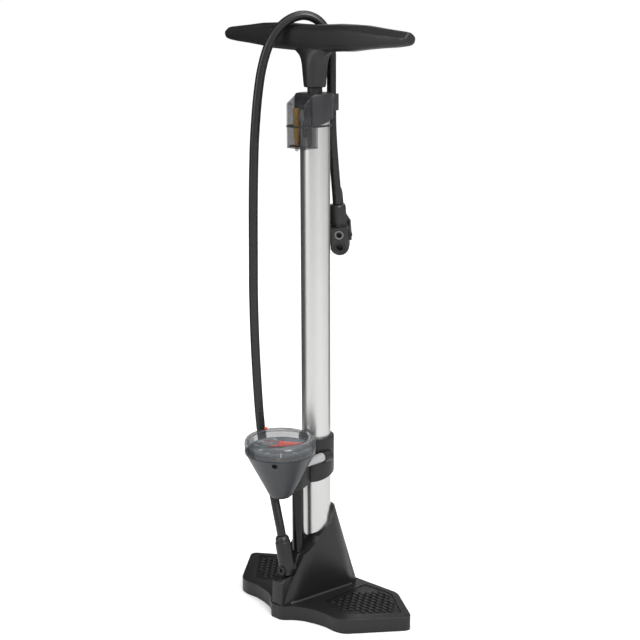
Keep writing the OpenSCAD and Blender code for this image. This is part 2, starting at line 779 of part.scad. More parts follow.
// Band clamp that carries the gauge on the barrel
module gauge_clamp() {
    color("#2e2e30")
    difference() {
        union() {
            translate([0, 0, clamp_low_z]) cylinder(r = clamp_r, h = clamp_top_z - clamp_low_z);
            translate([-pipe_r - 2.6, -pipe_y, clamp_low_z])
                cube([2 * pipe_r + 5.2, pipe_y - barrel_r + 2, boss_top_z - clamp_low_z]);
            translate([0, -pipe_y, clamp_low_z]) cylinder(r = pipe_r + 2.6, h = boss_top_z - clamp_low_z);
            both_sides() {
                translate([post_x, post_back_y, post_z]) rotate([-90, 0, 0]) cylinder(r = lug_r, h = 12);
                translate([barrel_r - 2, post_back_y, post_z - lug_r])
                    cube([post_x - barrel_r + 2, 12, 2 * lug_r]);
            }
        }
        // sloping lower edge
        translate([-60, 0, gauge_z - 38.5]) rotate([17, 0, 0]) translate([0, -60, -60]) cube([120, 120, 60]);
        translate([0, 0, clamp_low_z - cut]) cylinder(r = barrel_r + fit_gap, h = 80);
        translate([0, -pipe_y, clamp_low_z - cut]) cylinder(r = pipe_r + fit_gap, h = 80);
        cone_solid(0.3);
        translate([0, -gauge_y, gauge_z]) cylinder(r = gauge_r + 0.5, h = 40);
        both_sides() translate([post_x, post_back_y - 8, post_z]) rotate([-90, 0, 0])
            cylinder(r = post_r + fit_gap, h = 8 + post_seat + fit_gap);
        // split at the back, drawn together by the screws
        translate([-1, 0, clamp_low_z - cut]) cube([2, 60, 80]);
        clamp_screw_holes();
    }
}

module clamp_screw_holes() {
    for (z = screw_zs) translate([-12, screw_y, z]) rotate([0, 90, 0]) cylinder(r = screw_r + fit_gap, h = 24, $fn = 24);
    for (z = screw_zs) translate([-30, screw_y, z]) rotate([0, 90, 0]) cylinder(r = screw_head_r + 0.1, h = 26, $fn = 24);
    for (z = screw_zs) translate([4, screw_y, z]) rotate([0, 90, 0]) cylinder(r = screw_head_r + 0.1, h = 26, $fn = 24);
}

// Cross screws of the clamp's split, with their nuts
module clamp_screws() {
    color("#9c9c9c")
    for (z = screw_zs) translate([0, screw_y, z]) {
        translate([-6.2, 0, 0]) rotate([0, 90, 0]) cylinder(r = screw_r, h = 12.4, $fn = 24);
        translate([-6.2, 0, 0]) rotate([0, 90, 0]) cylinder(r = screw_head_r, h = 2.1, $fn = 24);
        translate([4.1, 0, 0]) rotate([0, 90, 0]) cylinder(r = screw_head_r, h = 2.1, $fn = 24);
    }
}

// Pale posts between the clamp and the gauge
module gauge_posts() {
    color("#c8c8c8")
    difference() {
        both_sides() translate([post_x, -gauge_y + 12, post_z]) rotate([-90, 0, 0])
            cylinder(r = post_r, h = gauge_y - 12 + post_back_y + post_seat);
        cone_solid(0.1);
    }
}

// ---------------------------------------------------------------- hose

// Banjo elbow on the nose of the base
module hose_elbow() {
    color("#333335")
    difference() {
        union() {
            at_elbow() cylinder(r1 = 6, r2 = elbow_r, h = 12);
            at_elbow() translate([0, 0, 12 - touch]) cylinder(r = elbow_r, h = elbow_len - 12 + touch);
            translate([elbow_bolt_x, elbow_y, elbow_bolt_z]) rotate([-90, 0, 0])
                cylinder(r = eye_r, h = elbow_bolt_y - elbow_y - touch);
        }
        at_elbow() translate([0, 0, 6]) cylinder(r = 2.6, h = elbow_len, $fn = 32);
        translate([elbow_bolt_x, elbow_y - 12, elbow_bolt_z]) rotate([-90, 0, 0]) cylinder(r = bolt_r + fit_gap, h = 40);
        translate([elbow_bolt_x, elbow_y - 20, elbow_bolt_z]) rotate([-90, 0, 0]) cylinder(r = 5.6, h = 13.6);
    }
}

// Hollow bolt that clamps the elbow to the base
module elbow_bolt() {
    color("#8c8c8c")
    difference() {
        union() {
            translate([elbow_bolt_x, elbow_y - 6.5, elbow_bolt_z]) rotate([-90, 0, 0]) cylinder(r = bolt_r, h = 22);
            translate([elbow_bolt_x, elbow_y - 9.2, elbow_bolt_z]) rotate([-90, 0, 0]) cylinder(r = 5.4, h = 2.8);
        }
        translate([elbow_bolt_x, elbow_y - 9.2 - cut, elbow_bolt_z]) rotate([-90, 0, 0]) hex(4, 3);
    }
}

// Nut that grips the hose in the elbow
module hose_nut() {
    color("#2b2b2d")
    at_elbow() translate([0, 0, elbow_len + touch]) difference() {
        cylinder(r1 = elbow_r - 0.6, r2 = elbow_r - 1.8, h = nut_len - 2 * touch);
        translate([0, 0, -cut]) cylinder(r = 2.6, h = nut_len + 2 * cut, $fn = 32);
    }
}

module hose() {
    color("#2a2a2c") swept_tube(smooth_route(hose_route, hose_steps), hose_d / 2, 12);
}

// ---------------------------------------------------------------- pump head

module head_body() {
    color("#3a3a3c")
    difference() {
        at_head() intersection() {
            translate([-head_half, -11, 0]) cube([2 * head_half, 21, head_h]);
            translate([0, 20, head_half + 0.5]) rotate([90, 0, 0]) union() {
                cylinder(r = head_half + 0.5, h = 40);
                translate([-20, 0, 0]) cube([40, 40, 40]);
            }
        }
        at_head() translate([narrow_x, -12, narrow_h]) rotate([-90, 0, 0]) cylinder(r = 5, h = 10);
        at_head() translate([narrow_x, -12, narrow_h]) rotate([-90, 0, 0]) cylinder(r = 2, h = 14, $fn = 20);
        at_head() translate([0, -12, wide_h]) rotate([-90, 0, 0]) cylinder(r = 6, h = 12);
        at_head() translate([0, 0, wide_h]) rotate([0, 0, 7]) cylinder(r = 1.6, h = 40, $fn = 20);
        at_head() translate([-20, pivot_y, pivot_h]) rotate([0, 90, 0])
            cylinder(r = pin_r + fit_gap, h = 40, $fn = 32);
    }
}

// Hose socket of the head
module head_sleeve() {
    color("#434345")
    at_head() translate([0, 0, head_h + touch]) difference() {
        union() {
            cylinder(r = sleeve_r - 0.8, h = 3);
            translate([0, 0, 3 - touch]) cylinder(r1 = sleeve_r, r2 = sleeve_r - 0.5, h = sleeve_len - 4);
            translate([0, 0, sleeve_len - 1.2]) cylinder(r1 = sleeve_r - 0.5, r2 = sleeve_r - 1.4, h = 1.1);
        }
        translate([0, 0, -cut]) cylinder(r = 1.6, h = sleeve_len + 2 * cut, $fn = 32);
    }
}

// Rubber grommet that grips a wide valve
module wide_grommet() {
    color("#161616")
    at_head() translate([0, -11, wide_h]) rotate([-90, 0, 0]) tube(6 - fit_gap, wide_bore_r, 10);
}

// Rubber grommet that grips a narrow valve
module narrow_grommet() {
    color("#161616")
    at_head() translate([narrow_x, -9.4, narrow_h]) rotate([-90, 0, 0]) tube(5 - fit_gap, narrow_bore_r, 7.2);
}

// Metal ring at the mouth of the narrow bore
module face_ring() {
    color("#9a9a9a")
    at_head() translate([narrow_x, -11.2, narrow_h]) rotate([-90, 0, 0]) tube(5 - fit_gap, narrow_bore_r + 0.2, 1.7);
}

module lever_pin() {
    color("#a8a8a8")
    at_head() translate([-fork_in - fork_t, pivot_y, pivot_h]) rotate([0, 90, 0])
        cylinder(r = pin_r, h = 2 * (fork_in + fork_t) + 1, $fn = 48);
}

// Thumb lever: a fork round the head and a tongue behind the hose
module head_lever() {
    color("#4a4a4c")
    at_head() difference() {
        union() {
            both_sides() {
                translate([fork_in, pivot_y, pivot_h]) rotate([0, 90, 0]) cylinder(r = hub_r, h = fork_t);
                translate([fork_in, pivot_y, pivot_h - 2]) cube([fork_t, 9, 18]);
            }
            translate([-fork_in - hub_t, pivot_y, pivot_h]) rotate([0, 90, 0]) cylinder(r = hub_r, h = hub_t);
            translate([-fork_in - fork_t, 11, pivot_h + 6.5]) cube([2 * (fork_in + fork_t), 3, 12]);
            translate([-5.5, 11, pivot_h + 17]) cube([11, 3, 33]);
            translate([0, 11, pivot_h + 50]) rotate([-90, 0, 0]) cylinder(r = 5.5, h = 3);
        }
        translate([-20, pivot_y, pivot_h]) rotate([0, 90, 0]) cylinder(r = pin_r + run_gap, h = 40, $fn = 48);
        translate([-fork_in, -30, -5]) cube([2 * fork_in, 41, 60]);
    }
}

// ---------------------------------------------------------------- handle

// One slice of the grip, an oval disc
module grip_slice(x, depth, height, z) {
    translate([x, 0, z]) rotate([0, 90, 0]) scale_disc(height, depth);
}

// Oval disc built from an ellipse formula
module scale_disc(a, b) {
    linear_extrude(0.5, center = true)
        polygon([for (k = [0:31]) let (t = 360 * k / 32)
            [-a / 2 * sign(cos(t)) * pow(abs(cos(t)), 0.85), b / 2 * sign(sin(t)) * pow(abs(sin(t)), 0.85)]]);
}

// Half of the grip as stations: x, depth, height and middle height
grip_stations = [
    [0, 1, 0.93, 0], [34, 1, 1, 0.2], [62, 1, 0.98, 0], [100, 0.86, 0.72, 0.6], [126, 0.66, 0.45, 1.2], [133, 0.5, 0.3, 1.2]
];

module grip_half() {
    for (i = [0:len(grip_stations) - 2]) {
        a = grip_stations[i];
        b = grip_stations[i + 1];
        stretch = handle_half / 133;
        hull() {
            grip_slice(a[0] * stretch, a[1] * handle_depth, a[2] * handle_height, grip_z + a[3]);
            grip_slice(b[0] * stretch, b[1] * handle_depth, b[2] * handle_height, grip_z + b[3]);
        }
    }
}

module handle() {
    color("#424244")
    difference() {
        union() {
            both_sides() grip_half();
            translate([0, 0, stem_low_z]) cylinder(r1 = stem_d / 2, r2 = stem_d / 2 + 1, h = stem_len);
            translate([0, 0, stem_low_z + stem_len - 26]) cylinder(r1 = stem_d / 2, r2 = handle_depth / 2, h = 20);
        }
        translate([0, 0, stem_low_z - cut]) cylinder(r = rod_r + fit_gap, h = 36 + cut);
        translate([0, -20, bolt_z]) rotate([-90, 0, 0]) cylinder(r = 2 + fit_gap, h = 40, $fn = 32);
    }
}

// Roll pin through the stem and the rod
module handle_bolt() {
    color("#8a8a8a")
    translate([0, -stem_d / 2 + 1, bolt_z]) rotate([-90, 0, 0]) cylinder(r = 2, h = stem_d - 2, $fn = 32);
}

module rod() {
    color("#b8babb")
    difference() {
        translate([0, 0, piston_low_z - nut_h - 1])
            cylinder(r = rod_r, h = stem_low_z + 35 - piston_low_z + nut_h + 1);
        translate([0, -20, bolt_z]) rotate([-90, 0, 0]) cylinder(r = 2 + fit_gap, h = 40, $fn = 32);
    }
}

module rod_bumper() {
    color("#171717") translate([0, 0, bumper_low_z]) tube(rod_r + 2, rod_r + fit_gap, bumper_h - touch);
}

module piston() {
    color("#cfc9b4")
    difference() {
        translate([0, 0, piston_low_z]) cylinder(r = piston_r, h = piston_h);
        translate([0, 0, piston_low_z - cut]) cylinder(r = rod_r + fit_gap, h = piston_h + 2 * cut);
        translate([0, 0, piston_low_z + piston_h / 2 - piston_seal_r])
            tube(piston_r + cut, bore_r - 2 * piston_seal_r - 0.1, 2 * piston_seal_r);
    }
}

module piston_seal() {
    color("#151515") translate([0, 0, piston_low_z + piston_h / 2])
        o_ring(bore_r - run_gap - piston_seal_r, piston_seal_r - touch);
}

module piston_nut() {
    color("#9a9a9a")
    translate([0, 0, piston_low_z - nut_h]) difference() {
        hex(19, nut_h - touch);
        translate([0, 0, -cut]) cylinder(r = rod_r + fit_gap, h = nut_h + 2 * cut);
    }
}

base();
tread_left();
tread_right();
base_feet();
barrel_tube();
barrel_seal();
check_valve_seat();
check_valve_ball();
check_valve_spring();
top_cap();
guide_bush();
wiper_seal();
hose_clip();
storage_tray();
storage_cover();
storage_band();
air_nozzle();
ball_needle();
valve_adapter();
gauge_clamp();
clamp_screws();
gauge_posts();
gauge_pipe();
pipe_ferrule();
pipe_nut();
gauge_housing();
gauge_seal();
bourdon_tube();
gauge_dial();
gauge_needle();
gauge_lens();
gauge_marker();
hose_elbow();
elbow_bolt();
hose_nut();
hose();
head_body();
head_sleeve();
wide_grommet();
narrow_grommet();
face_ring();
lever_pin();
head_lever();
handle();
handle_bolt();
rod();
rod_bumper();
piston();
piston_seal();
piston_nut();
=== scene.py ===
"""Looks of the floor bike pump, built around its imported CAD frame.

Lengths inside the shape code are millimetres, in the frame's own axes: the
origin is on the barrel axis at the floor, +X runs along the handle, -Y is the
gauge side and +Z is up. They turn to metres where a mesh is made.
"""

import logging
import math
from collections.abc import Callable, Iterable, Sequence
from dataclasses import dataclass, field
from enum import Enum

import bmesh
import bpy
from mathutils import Matrix, Vector

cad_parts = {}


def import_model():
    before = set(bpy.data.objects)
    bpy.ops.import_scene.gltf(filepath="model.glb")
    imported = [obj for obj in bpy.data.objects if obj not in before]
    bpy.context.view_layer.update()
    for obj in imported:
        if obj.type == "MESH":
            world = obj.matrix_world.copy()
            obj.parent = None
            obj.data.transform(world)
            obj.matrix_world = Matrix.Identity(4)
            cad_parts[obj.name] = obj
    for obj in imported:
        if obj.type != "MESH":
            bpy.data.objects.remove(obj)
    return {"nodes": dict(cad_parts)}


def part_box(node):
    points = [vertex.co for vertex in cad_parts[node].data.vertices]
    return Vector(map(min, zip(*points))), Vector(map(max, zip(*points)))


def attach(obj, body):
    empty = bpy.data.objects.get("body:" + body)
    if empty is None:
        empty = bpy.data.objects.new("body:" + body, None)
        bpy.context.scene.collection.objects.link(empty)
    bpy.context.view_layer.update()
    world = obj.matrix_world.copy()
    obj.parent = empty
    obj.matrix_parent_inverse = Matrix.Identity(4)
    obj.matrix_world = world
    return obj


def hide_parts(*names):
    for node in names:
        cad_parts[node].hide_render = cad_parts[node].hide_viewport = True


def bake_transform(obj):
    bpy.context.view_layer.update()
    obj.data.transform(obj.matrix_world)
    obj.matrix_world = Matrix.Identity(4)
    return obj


MM = 0.001
LOG = logging.getLogger("floor_pump")
Point = Sequence[float]
Faces = list[list[int]]


class Body(str, Enum):
    """The moving groups of the pump."""

    STAND = "stand"
    PLUNGER = "plunger"
    NEEDLE = "needle"
    BEZEL = "bezel"
    COVER = "cover"
    LEVER = "lever"


class Grain(Enum):
    """How a surface's fine relief runs."""

    EVEN = (1.0, 1.0, 1.0)
    ALONG_Z = (1.0, 1.0, 0.02)


class Side(Enum):
    """The two mirrored halves of the pump."""

    RIGHT = 1
    LEFT = -1


# ------------------------------------------------------------------ finishes


def linear(hex_colour: str) -> tuple[float, float, float, float]:
    """Turns an sRGB hex colour to linear light.

    Args:
        hex_colour: Six hex digits, such as "3c3c3e".

    Returns:
        Red, green, blue and an alpha of 1.
    """
    parts = [int(hex_colour[i : i + 2], 16) / 255 for i in (0, 2, 4)]
    red, green, blue = (
        c / 12.92 if c <= 0.04045 else ((c + 0.055) / 1.055) ** 2.4 for c in parts
    )
    return red, green, blue, 1.0


def add_node(
    tree: bpy.types.NodeTree,
    kind: str,
    inputs: dict[str, object] | None = None,
    **settings: object,
) -> bpy.types.Node:
    """Adds a node with its settings, values and links.

    Args:
        tree: The node tree that gets the node.
        kind: The node's class name, such as "ShaderNodeBump".
        inputs: Socket name to a value or to an output socket that feeds it.
        **settings: Properties of the node itself.

    Returns:
        The new node.
    """
    node = tree.nodes.new(kind)
    for key, value in settings.items():
        setattr(node, key, value)
    for key, value in (inputs or {}).items():
        if isinstance(value, bpy.types.NodeSocket):
            tree.links.new(value, node.inputs[key])
        else:
            node.inputs[key].default_value = value
    return node


@dataclass(frozen=True)
class Finish:
    """One surface: what it is made of and how it was made.

    Attributes:
        name: Material name, in a maker's words.
        slot: The record's material slot that it belongs to; not used.
        colour: Main sRGB hex colour.
        worn: sRGB hex colour of the paler patches.
        roughness: Middle roughness.
        spread: How far the roughness wanders either way.
        metallic: 1 for bare metal.
        ior: Index of refraction.
        grain_mm: Size of the fine relief.
        relief_mm: Height of the fine relief.
        cloud_mm: Size of the slow colour patches.
        grain: Which way the relief runs.
        coat: Weight of a clear gloss over it.
        sheen: Dusty sheen of rubber.
        cover: How much a thin see-through wall hides; 1 for a solid.
    """

    name: str
    slot: str
    colour: str
    worn: str
    roughness: float
    spread: float = 0.06
    metallic: float = 0.0
    ior: float = 1.5
    grain_mm: float = 0.8
    relief_mm: float = 0.02
    cloud_mm: float = 30.0
    grain: Grain = Grain.EVEN
    coat: float = 0.0
    sheen: float = 0.0
    cover: float = 1.0

    def material(self) -> bpy.types.Material:
        """Makes the node material once and then shares it.

        Returns:
            The material.
        """
        found = bpy.data.materials.get(self.name)
        if found:
            return found
        made = bpy.data.materials.new(self.name)
        made.use_nodes = True
        tree = made.node_tree
        tree.nodes.clear()
        place = add_node(tree, "ShaderNodeTexCoord")
        run = add_node(
            tree, "ShaderNodeMapping",
            {"Vector": place.outputs["Object"], "Scale": self.grain.value}
        )
        fine = add_node(
            tree,
            "ShaderNodeTexNoise",
            {"Vector": run.outputs["Vector"], "Scale": 1000 / self.grain_mm, "Detail": 2.0},
        )
        cloud = add_node(
            tree,
            "ShaderNodeTexNoise",
            {"Vector": place.outputs["Object"], "Scale": 1000 / self.cloud_mm, "Detail": 3.0},
        )
        tint = add_node(
            tree,
            "ShaderNodeMix",
            {"Factor": cloud.outputs["Fac"], "A": linear(self.colour), "B": linear(self.worn)},
            data_type="RGBA",
        )
        rough = add_node(
            tree,
            "ShaderNodeMapRange",
            {
                "Value": fine.outputs["Fac"],
                "To Min": self.roughness - self.spread,
                "To Max": self.roughness + self.spread,
            },
        )
        relief = add_node(
            tree,
            "ShaderNodeBump",
            {"Height": fine.outputs["Fac"], "Distance": self.relief_mm * MM, "Strength": 1.0},
        )
        shader = add_node(
            tree,
            "ShaderNodeBsdfPrincipled",
            {
                "Base Color": tint.outputs["Result"],
                "Roughness": rough.outputs["Result"],
                "Normal": relief.outputs["Normal"],
                "Metallic": self.metallic,
                "IOR": self.ior,
                "Coat Weight": self.coat,
                "Coat Roughness": 0.12,
                "Sheen Weight": self.sheen,
                "Alpha": self.cover,
            },
        )
        add_node(tree, "ShaderNodeOutputMaterial", {"Surface": shader.outputs["BSDF"]})
        made.diffuse_color = linear(self.colour)
        return made


# Glass-filled nylon, injection moulded against an eroded tool: a dull, faintly
# pebbled black whose edges catch a soft grey line
BASE_NYLON = Finish(
    "moulded_nylon_black", "base_plastic", "121213", "171718", 0.36, grain_mm=0.9, relief_mm=0.012
)
# ABS grip with a finer spark texture: a shade lighter and a little silkier
GRIP_ABS = Finish(
    "moulded_abs_grip", "handle_plastic", "161617", "1a1a1b", 0.36, grain_mm=0.9, relief_mm=0.014
)
# ABS cap, the same tool texture on a bluish grey
CAP_ABS = Finish(
    "moulded_abs_cap", "cap_plastic", "232326", "28282b", 0.34, grain_mm=0.8, relief_mm=0.01
)
# Matt grey polycarbonate of the gauge's cone: nearly no gloss, so it shades softly
CONE_PC = Finish(
    "moulded_polycarbonate_grey", "gauge_plastic", "2c2e31", "313336", 0.36, grain_mm=0.8,
    relief_mm=0.01
)
# Smoked acrylic of the storage cover, injection moulded with polished faces: a dark
# veil over what is inside, glossy on top. Each face of its thin wall hides a share.
SMOKED_ACRYLIC = Finish(
    "smoked_acrylic", "smoked_plastic", "2a2b2e", "2e2f32", 0.08, spread=0.01, ior=1.49,
    relief_mm=0.0, coat=1.0, cover=0.38
)
# Clear acrylic of the bezel, tinted grey in the mass: its thick rim looks smoky
BEZEL_ACRYLIC = Finish(
    "tinted_acrylic", "clear_bezel", "43474b", "474b4f", 0.1, spread=0.01, ior=1.49,
    relief_mm=0.0, coat=1.0, cover=0.6
)
# The same acrylic where it is a thin flat window: nearly clear
WINDOW_ACRYLIC = Finish(
    "tinted_acrylic_window", "clear_bezel", "8d9296", "90959a", 0.08, spread=0.01, ior=1.49,
    relief_mm=0.0, coat=1.0, cover=0.09
)
# Moulded synthetic rubber of the treads: flat black with a dusty bloom
TREAD_RUBBER = Finish(
    "moulded_rubber_tread", "tread_rubber", "0c0c0d", "111112", 0.42, grain_mm=0.7,
    relief_mm=0.02
)
# Nitrile rubber of seals, pads and loops: soft black
SEAL_RUBBER = Finish(
    "nitrile_rubber", "seal_rubber", "111112", "161617", 0.5, grain_mm=0.6, sheen=0.1
)
# Extruded hose skin: black with the long soft highlight of a calendered surface
HOSE_RUBBER = Finish(
    "extruded_hose_rubber", "hose_rubber", "131314", "171718", 0.28, spread=0.04,
    grain_mm=1.2, relief_mm=0.01
)
# Drawn aluminium tube, satin anodised: hair-thin lines along its length blur
# reflections sideways. Real lines are about 0.05 mm; 0.6 mm is what shows.
SATIN_ALUMINIUM = Finish(
    "satin_anodised_aluminium", "barrel_aluminium", "d6d7d5", "dadbd9", 0.3, spread=0.03,
    metallic=1.0, grain_mm=0.6, relief_mm=0.001, grain=Grain.ALONG_Z
)
# Hard chrome on the ground rod: a bright clean mirror
HARD_CHROME = Finish(
    "hard_chrome", "rod_steel", "d0d2d4", "d4d6d8", 0.08, spread=0.02, metallic=1.0,
    grain_mm=0.5, relief_mm=0.0003
)
# Zinc-plated turned steel of screws, pins and nuts: grey with fine tool marks
ZINC_STEEL = Finish(
    "zinc_plated_steel", "steel", "b4b5b4", "bcbdbb", 0.32, metallic=1.0, grain_mm=0.4,
    relief_mm=0.002
)
# Passivated zinc of the ring round the narrow bore: greyer and duller
DULL_ZINC = Finish(
    "dull_zinc", "steel", "7d7e7d", "858685", 0.42, metallic=1.0, grain_mm=0.4, relief_mm=0.002
)
# Turned brass of the valve seat, the nuts and the pressure tube
TURNED_BRASS = Finish(
    "turned_brass", "brass", "b89352", "c19c5a", 0.28, metallic=1.0, grain_mm=0.4, relief_mm=0.002
)
# Turned acetal of the bush and the piston: waxy ivory
ACETAL = Finish("turned_acetal", "acetal", "cfc8b4", "d5cebb", 0.4, grain_mm=0.5, relief_mm=0.004)
# Moulded amber plastic of the tapered nozzle
AMBER_NOZZLE = Finish(
    "moulded_amber_plastic", "nozzle_plastic", "d9a83a", "cf9f38", 0.3, grain_mm=1.0, coat=0.3
)
# Signal red paint of the pointer and the marker
SIGNAL_RED = Finish(
    "signal_red_paint", "needle_red", "d9421f", "d13d1c", 0.35, grain_mm=0.6, relief_mm=0.003
)
# Printed dial: matt grey ink on a steel disc
DIAL_INK = Finish(
    "printed_dial_grey", "dial_face", "5f656b", "646a70", 0.55, grain_mm=0.5, relief_mm=0.002
)
# Inks of the scale, and the greyer one of the mark on the bezel
DIAL_WHITE = Finish("printed_white", "dial_face", "e4e6e6", "dfe1e1", 0.5, relief_mm=0.002)
INDEX_GREY = Finish("printed_index_grey", "dial_face", "8a8f98", "90959e", 0.5, relief_mm=0.002)
DIAL_GREEN = Finish("printed_green", "dial_face", "4f8a6a", "4b8565", 0.5, relief_mm=0.002)
DIAL_RED = Finish("printed_red", "dial_face", "b8503e", "b24b3a", 0.5, relief_mm=0.002)
# Pale grey ABS of the two gauge posts
POST_ABS = Finish("moulded_abs_pale", "post_grey", "959697", "9b9c9d", 0.42, relief_mm=0.008)
# Black anodised air pipe: dark metal with a sharp upright highlight
BLACK_PIPE = Finish(
    "black_anodised_pipe", "pipe_black", "0e0e0f", "121213", 0.24, spread=0.03, metallic=0.35,
    grain_mm=0.6, relief_mm=0.001, grain=Grain.ALONG_Z
)
# Nylon of the pump head and its lever, a little glossier than the base
HEAD_NYLON = Finish(
    "moulded_nylon_head", "head_plastic", "19191a", "1f1f20", 0.32, grain_mm=0.8, relief_mm=0.01
)


# -------------------------------------------------------------------- meshes


def outline_mesh(name: str, verts: Iterable[Point], faces: Faces) -> bpy.types.Object:
    """Makes an object from points in millimetres.

    Args:
        name: Name of the piece.
        verts: Its points.
        faces: Point numbers of each face.

    Returns:
        The linked object.
    """
    mesh = bpy.data.meshes.new(name)
    mesh.from_pydata([Vector(v) * MM for v in verts], [], faces)
    made = bpy.data.objects.new(name, mesh)
    bpy.context.scene.collection.objects.link(made)
    shape = bmesh.new()
    shape.from_mesh(mesh)
    bmesh.ops.remove_doubles(shape, verts=shape.verts, dist=0.001 * MM)
    bmesh.ops.recalc_face_normals(shape, faces=shape.faces)
    shape.to_mesh(mesh)
    shape.free()
    return made


def loft(name: str, rings: Sequence[Sequence[Point]], closed: bool = False) -> bpy.types.Object:
    """Joins rings of equal length with quads and caps both ends.

    Args:
        name: Name of the piece.
        rings: Rings of points, in order.
        closed: Whether the last ring joins the first, without caps.

    Returns:
        The linked object.
    """
    count = len(rings[0])
    verts = [p for ring in rings for p in ring]
    faces: Faces = []
    spans = len(rings) if closed else len(rings) - 1
    for i in range(spans):
        a, b = i * count, ((i + 1) % len(rings)) * count
        for k in range(count):
            n = (k + 1) % count
            faces.append([a + k, a + n, b + n, b + k])
    if not closed:
        faces.append(list(range(count)))
        faces.append([(len(rings) - 1) * count + k for k in range(count)])
    return outline_mesh(name, verts, faces)


def lathe(
    name: str, profile: Sequence[Point], centre: Point, sides: int = 96, closed: bool = False
) -> bpy.types.Object:
    """Turns a profile of radius and height round an upright axis.

    Args:
        name: Name of the piece.
        profile: Pairs of radius and height.
        centre: Point that the heights start from.
        sides: Points round a full turn.
        closed: Whether the profile is a closed loop, such as a ring's section.

    Returns:
        The linked object.
    """
    rings = [
        [
            (
                centre[0] + r * math.cos(2 * math.pi * k / sides),
                centre[1] + r * math.sin(2 * math.pi * k / sides),
                centre[2] + z,
            )
            for k in range(sides)
        ]
        for r, z in profile
    ]
    return loft(name, rings, closed)


def prism(name: str, outline: Sequence[Point], low: float, high: float) -> bpy.types.Object:
    """Raises an outline in x and y between two heights."""
    return loft(name, [[(x, y, low) for x, y in outline], [(x, y, high) for x, y in outline]])


def side_prism(
    name: str, profile: Sequence[Point], half: float, middle: float = 0
) -> bpy.types.Object:
    """Widens a profile in y and z to both sides of x = middle."""
    return loft(
        name,
        [[(middle - half, y, z) for y, z in profile], [(middle + half, y, z) for y, z in profile]]
    )


def mirrored(outline: Sequence[Point]) -> list[Point]:
    """Completes a right half that starts and ends on x = 0."""
    return list(outline) + [(-x, y) for x, y in reversed(outline) if x > 0]


def rounded(outline: Sequence[Point], radius: float, steps: int = 6) -> list[Point]:
    """Rounds the corners of an outline.

    Args:
        outline: Corners in x and y.
        radius: How far from a corner its curve starts.
        steps: Points on each curve.

    Returns:
        The finer outline.
    """
    made: list[Point] = []
    for i, corner in enumerate(outline):
        here = Vector(corner)
        back = Vector(outline[i - 1]) - here
        ahead = Vector(outline[(i + 1) % len(outline)]) - here
        reach = min(radius, 0.45 * back.length, 0.45 * ahead.length)
        start, end = here + back.normalized() * reach, here + ahead.normalized() * reach
        for k in range(steps + 1):
            t = k / steps
            point = start * (1 - t) ** 2 + here * 2 * t * (1 - t) + end * t * t
            made.append((point.x, point.y))
    return made


def hull_outline(points: Sequence[Point]) -> list[Point]:
    """Finds the convex outline round points.

    Args:
        points: Points in x and y.

    Returns:
        The outline, anticlockwise.
    """
    ordered = sorted(set((round(x, 4), round(y, 4)) for x, y in points))

    def half(run: Iterable[Point]) -> list[Point]:
        """Walks one side of the outline.

        Args:
            run: Points in order along x.

        Returns:
            The corners on that side, without the last.
        """
        chain: list[Point] = []
        for p in run:
            while len(chain) > 1 and (
                (chain[-1][0] - chain[-2][0]) * (p[1] - chain[-2][1])
                - (chain[-1][1] - chain[-2][1]) * (p[0] - chain[-2][0])
            ) <= 0:
                chain.pop()
            chain.append(p)
        return chain[:-1]

    return half(ordered) + half(reversed(ordered))


def circle(radius: float, sides: int = 64, centre: Point = (0, 0)) -> list[Point]:
    """Returns the points of a circle in x and y."""
    return [
        (
            centre[0] + radius * math.cos(2 * math.pi * k / sides),
            centre[1] + radius * math.sin(2 * math.pi * k / sides),
        )
        for k in range(sides)
    ]


def smooth_path(points: Sequence[Point], steps: int) -> list[Vector]:
    """Runs a smooth curve through points.

    Args:
        points: Points that the curve passes.
        steps: Pieces between two of them.

    Returns:
        The finer points.
    """
    made: list[Vector] = []
    last = len(points) - 1
    for i in range(last):
        a, b, c, d = (Vector(points[max(0, min(last, i + k))]) for k in (-1, 0, 1, 2))
        for k in range(steps):
            t = k / steps
            made.append(
                0.5
                * (
                    2 * b
                    + (c - a) * t
                    + (2 * a - 5 * b + 4 * c - d) * t * t
                    + (3 * b - a - 3 * c + d) * t**3
                )
            )
    made.append(Vector(points[last]))
    return made


def swept_rings(
    path: Sequence[Vector], radius: Callable[[int], float], sides: int
) -> list[list[Vector]]:
    """Sets a ring square to the path at each of its points, without twist.

    Args:
        path: Points of the centre line.
        radius: Radius for a point's number.
        sides: Points on each ring.

    Returns:
        The rings, in order.
    """
    rings = []
    across = Vector((0.8, -0.57, 0.1))
    for i, here in enumerate(path):
        ahead = (path[min(i + 1, len(path) - 1)] - path[max(i - 1, 0)]).normalized()
        across = (across - ahead * across.dot(ahead)).normalized()
        up = ahead.cross(across)
        r = radius(i)
        rings.append(
            [
                here + across * (r * math.cos(2 * math.pi * k / sides))
                + up * (r * math.sin(2 * math.pi * k / sides))
                for k in range(sides)
            ]
        )
    return rings


def slice_off(made: bpy.types.Object, point: Point, normal: Point) -> bpy.types.Object:
    """Cuts away what lies beyond a plane and closes the cut.

    Args:
        made: A convex piece.
        point: A point on the plane, in millimetres.
        normal: Direction of the part that goes.

    Returns:
        The same piece.
    """
    shape = bmesh.new()
    shape.from_mesh(made.data)
    found = bmesh.ops.bisect_plane(
        shape,
        geom=shape.verts[:] + shape.edges[:] + shape.faces[:],
        plane_co=Vector(point) * MM,
        plane_no=normal,
        clear_outer=True,
    )
    rim = [e for e in found["geom_cut"] if isinstance(e, bmesh.types.BMEdge)]
    bmesh.ops.contextual_create(shape, geom=rim)
    bmesh.ops.recalc_face_normals(shape, faces=shape.faces)
    shape.to_mesh(made.data)
    shape.free()
    return made


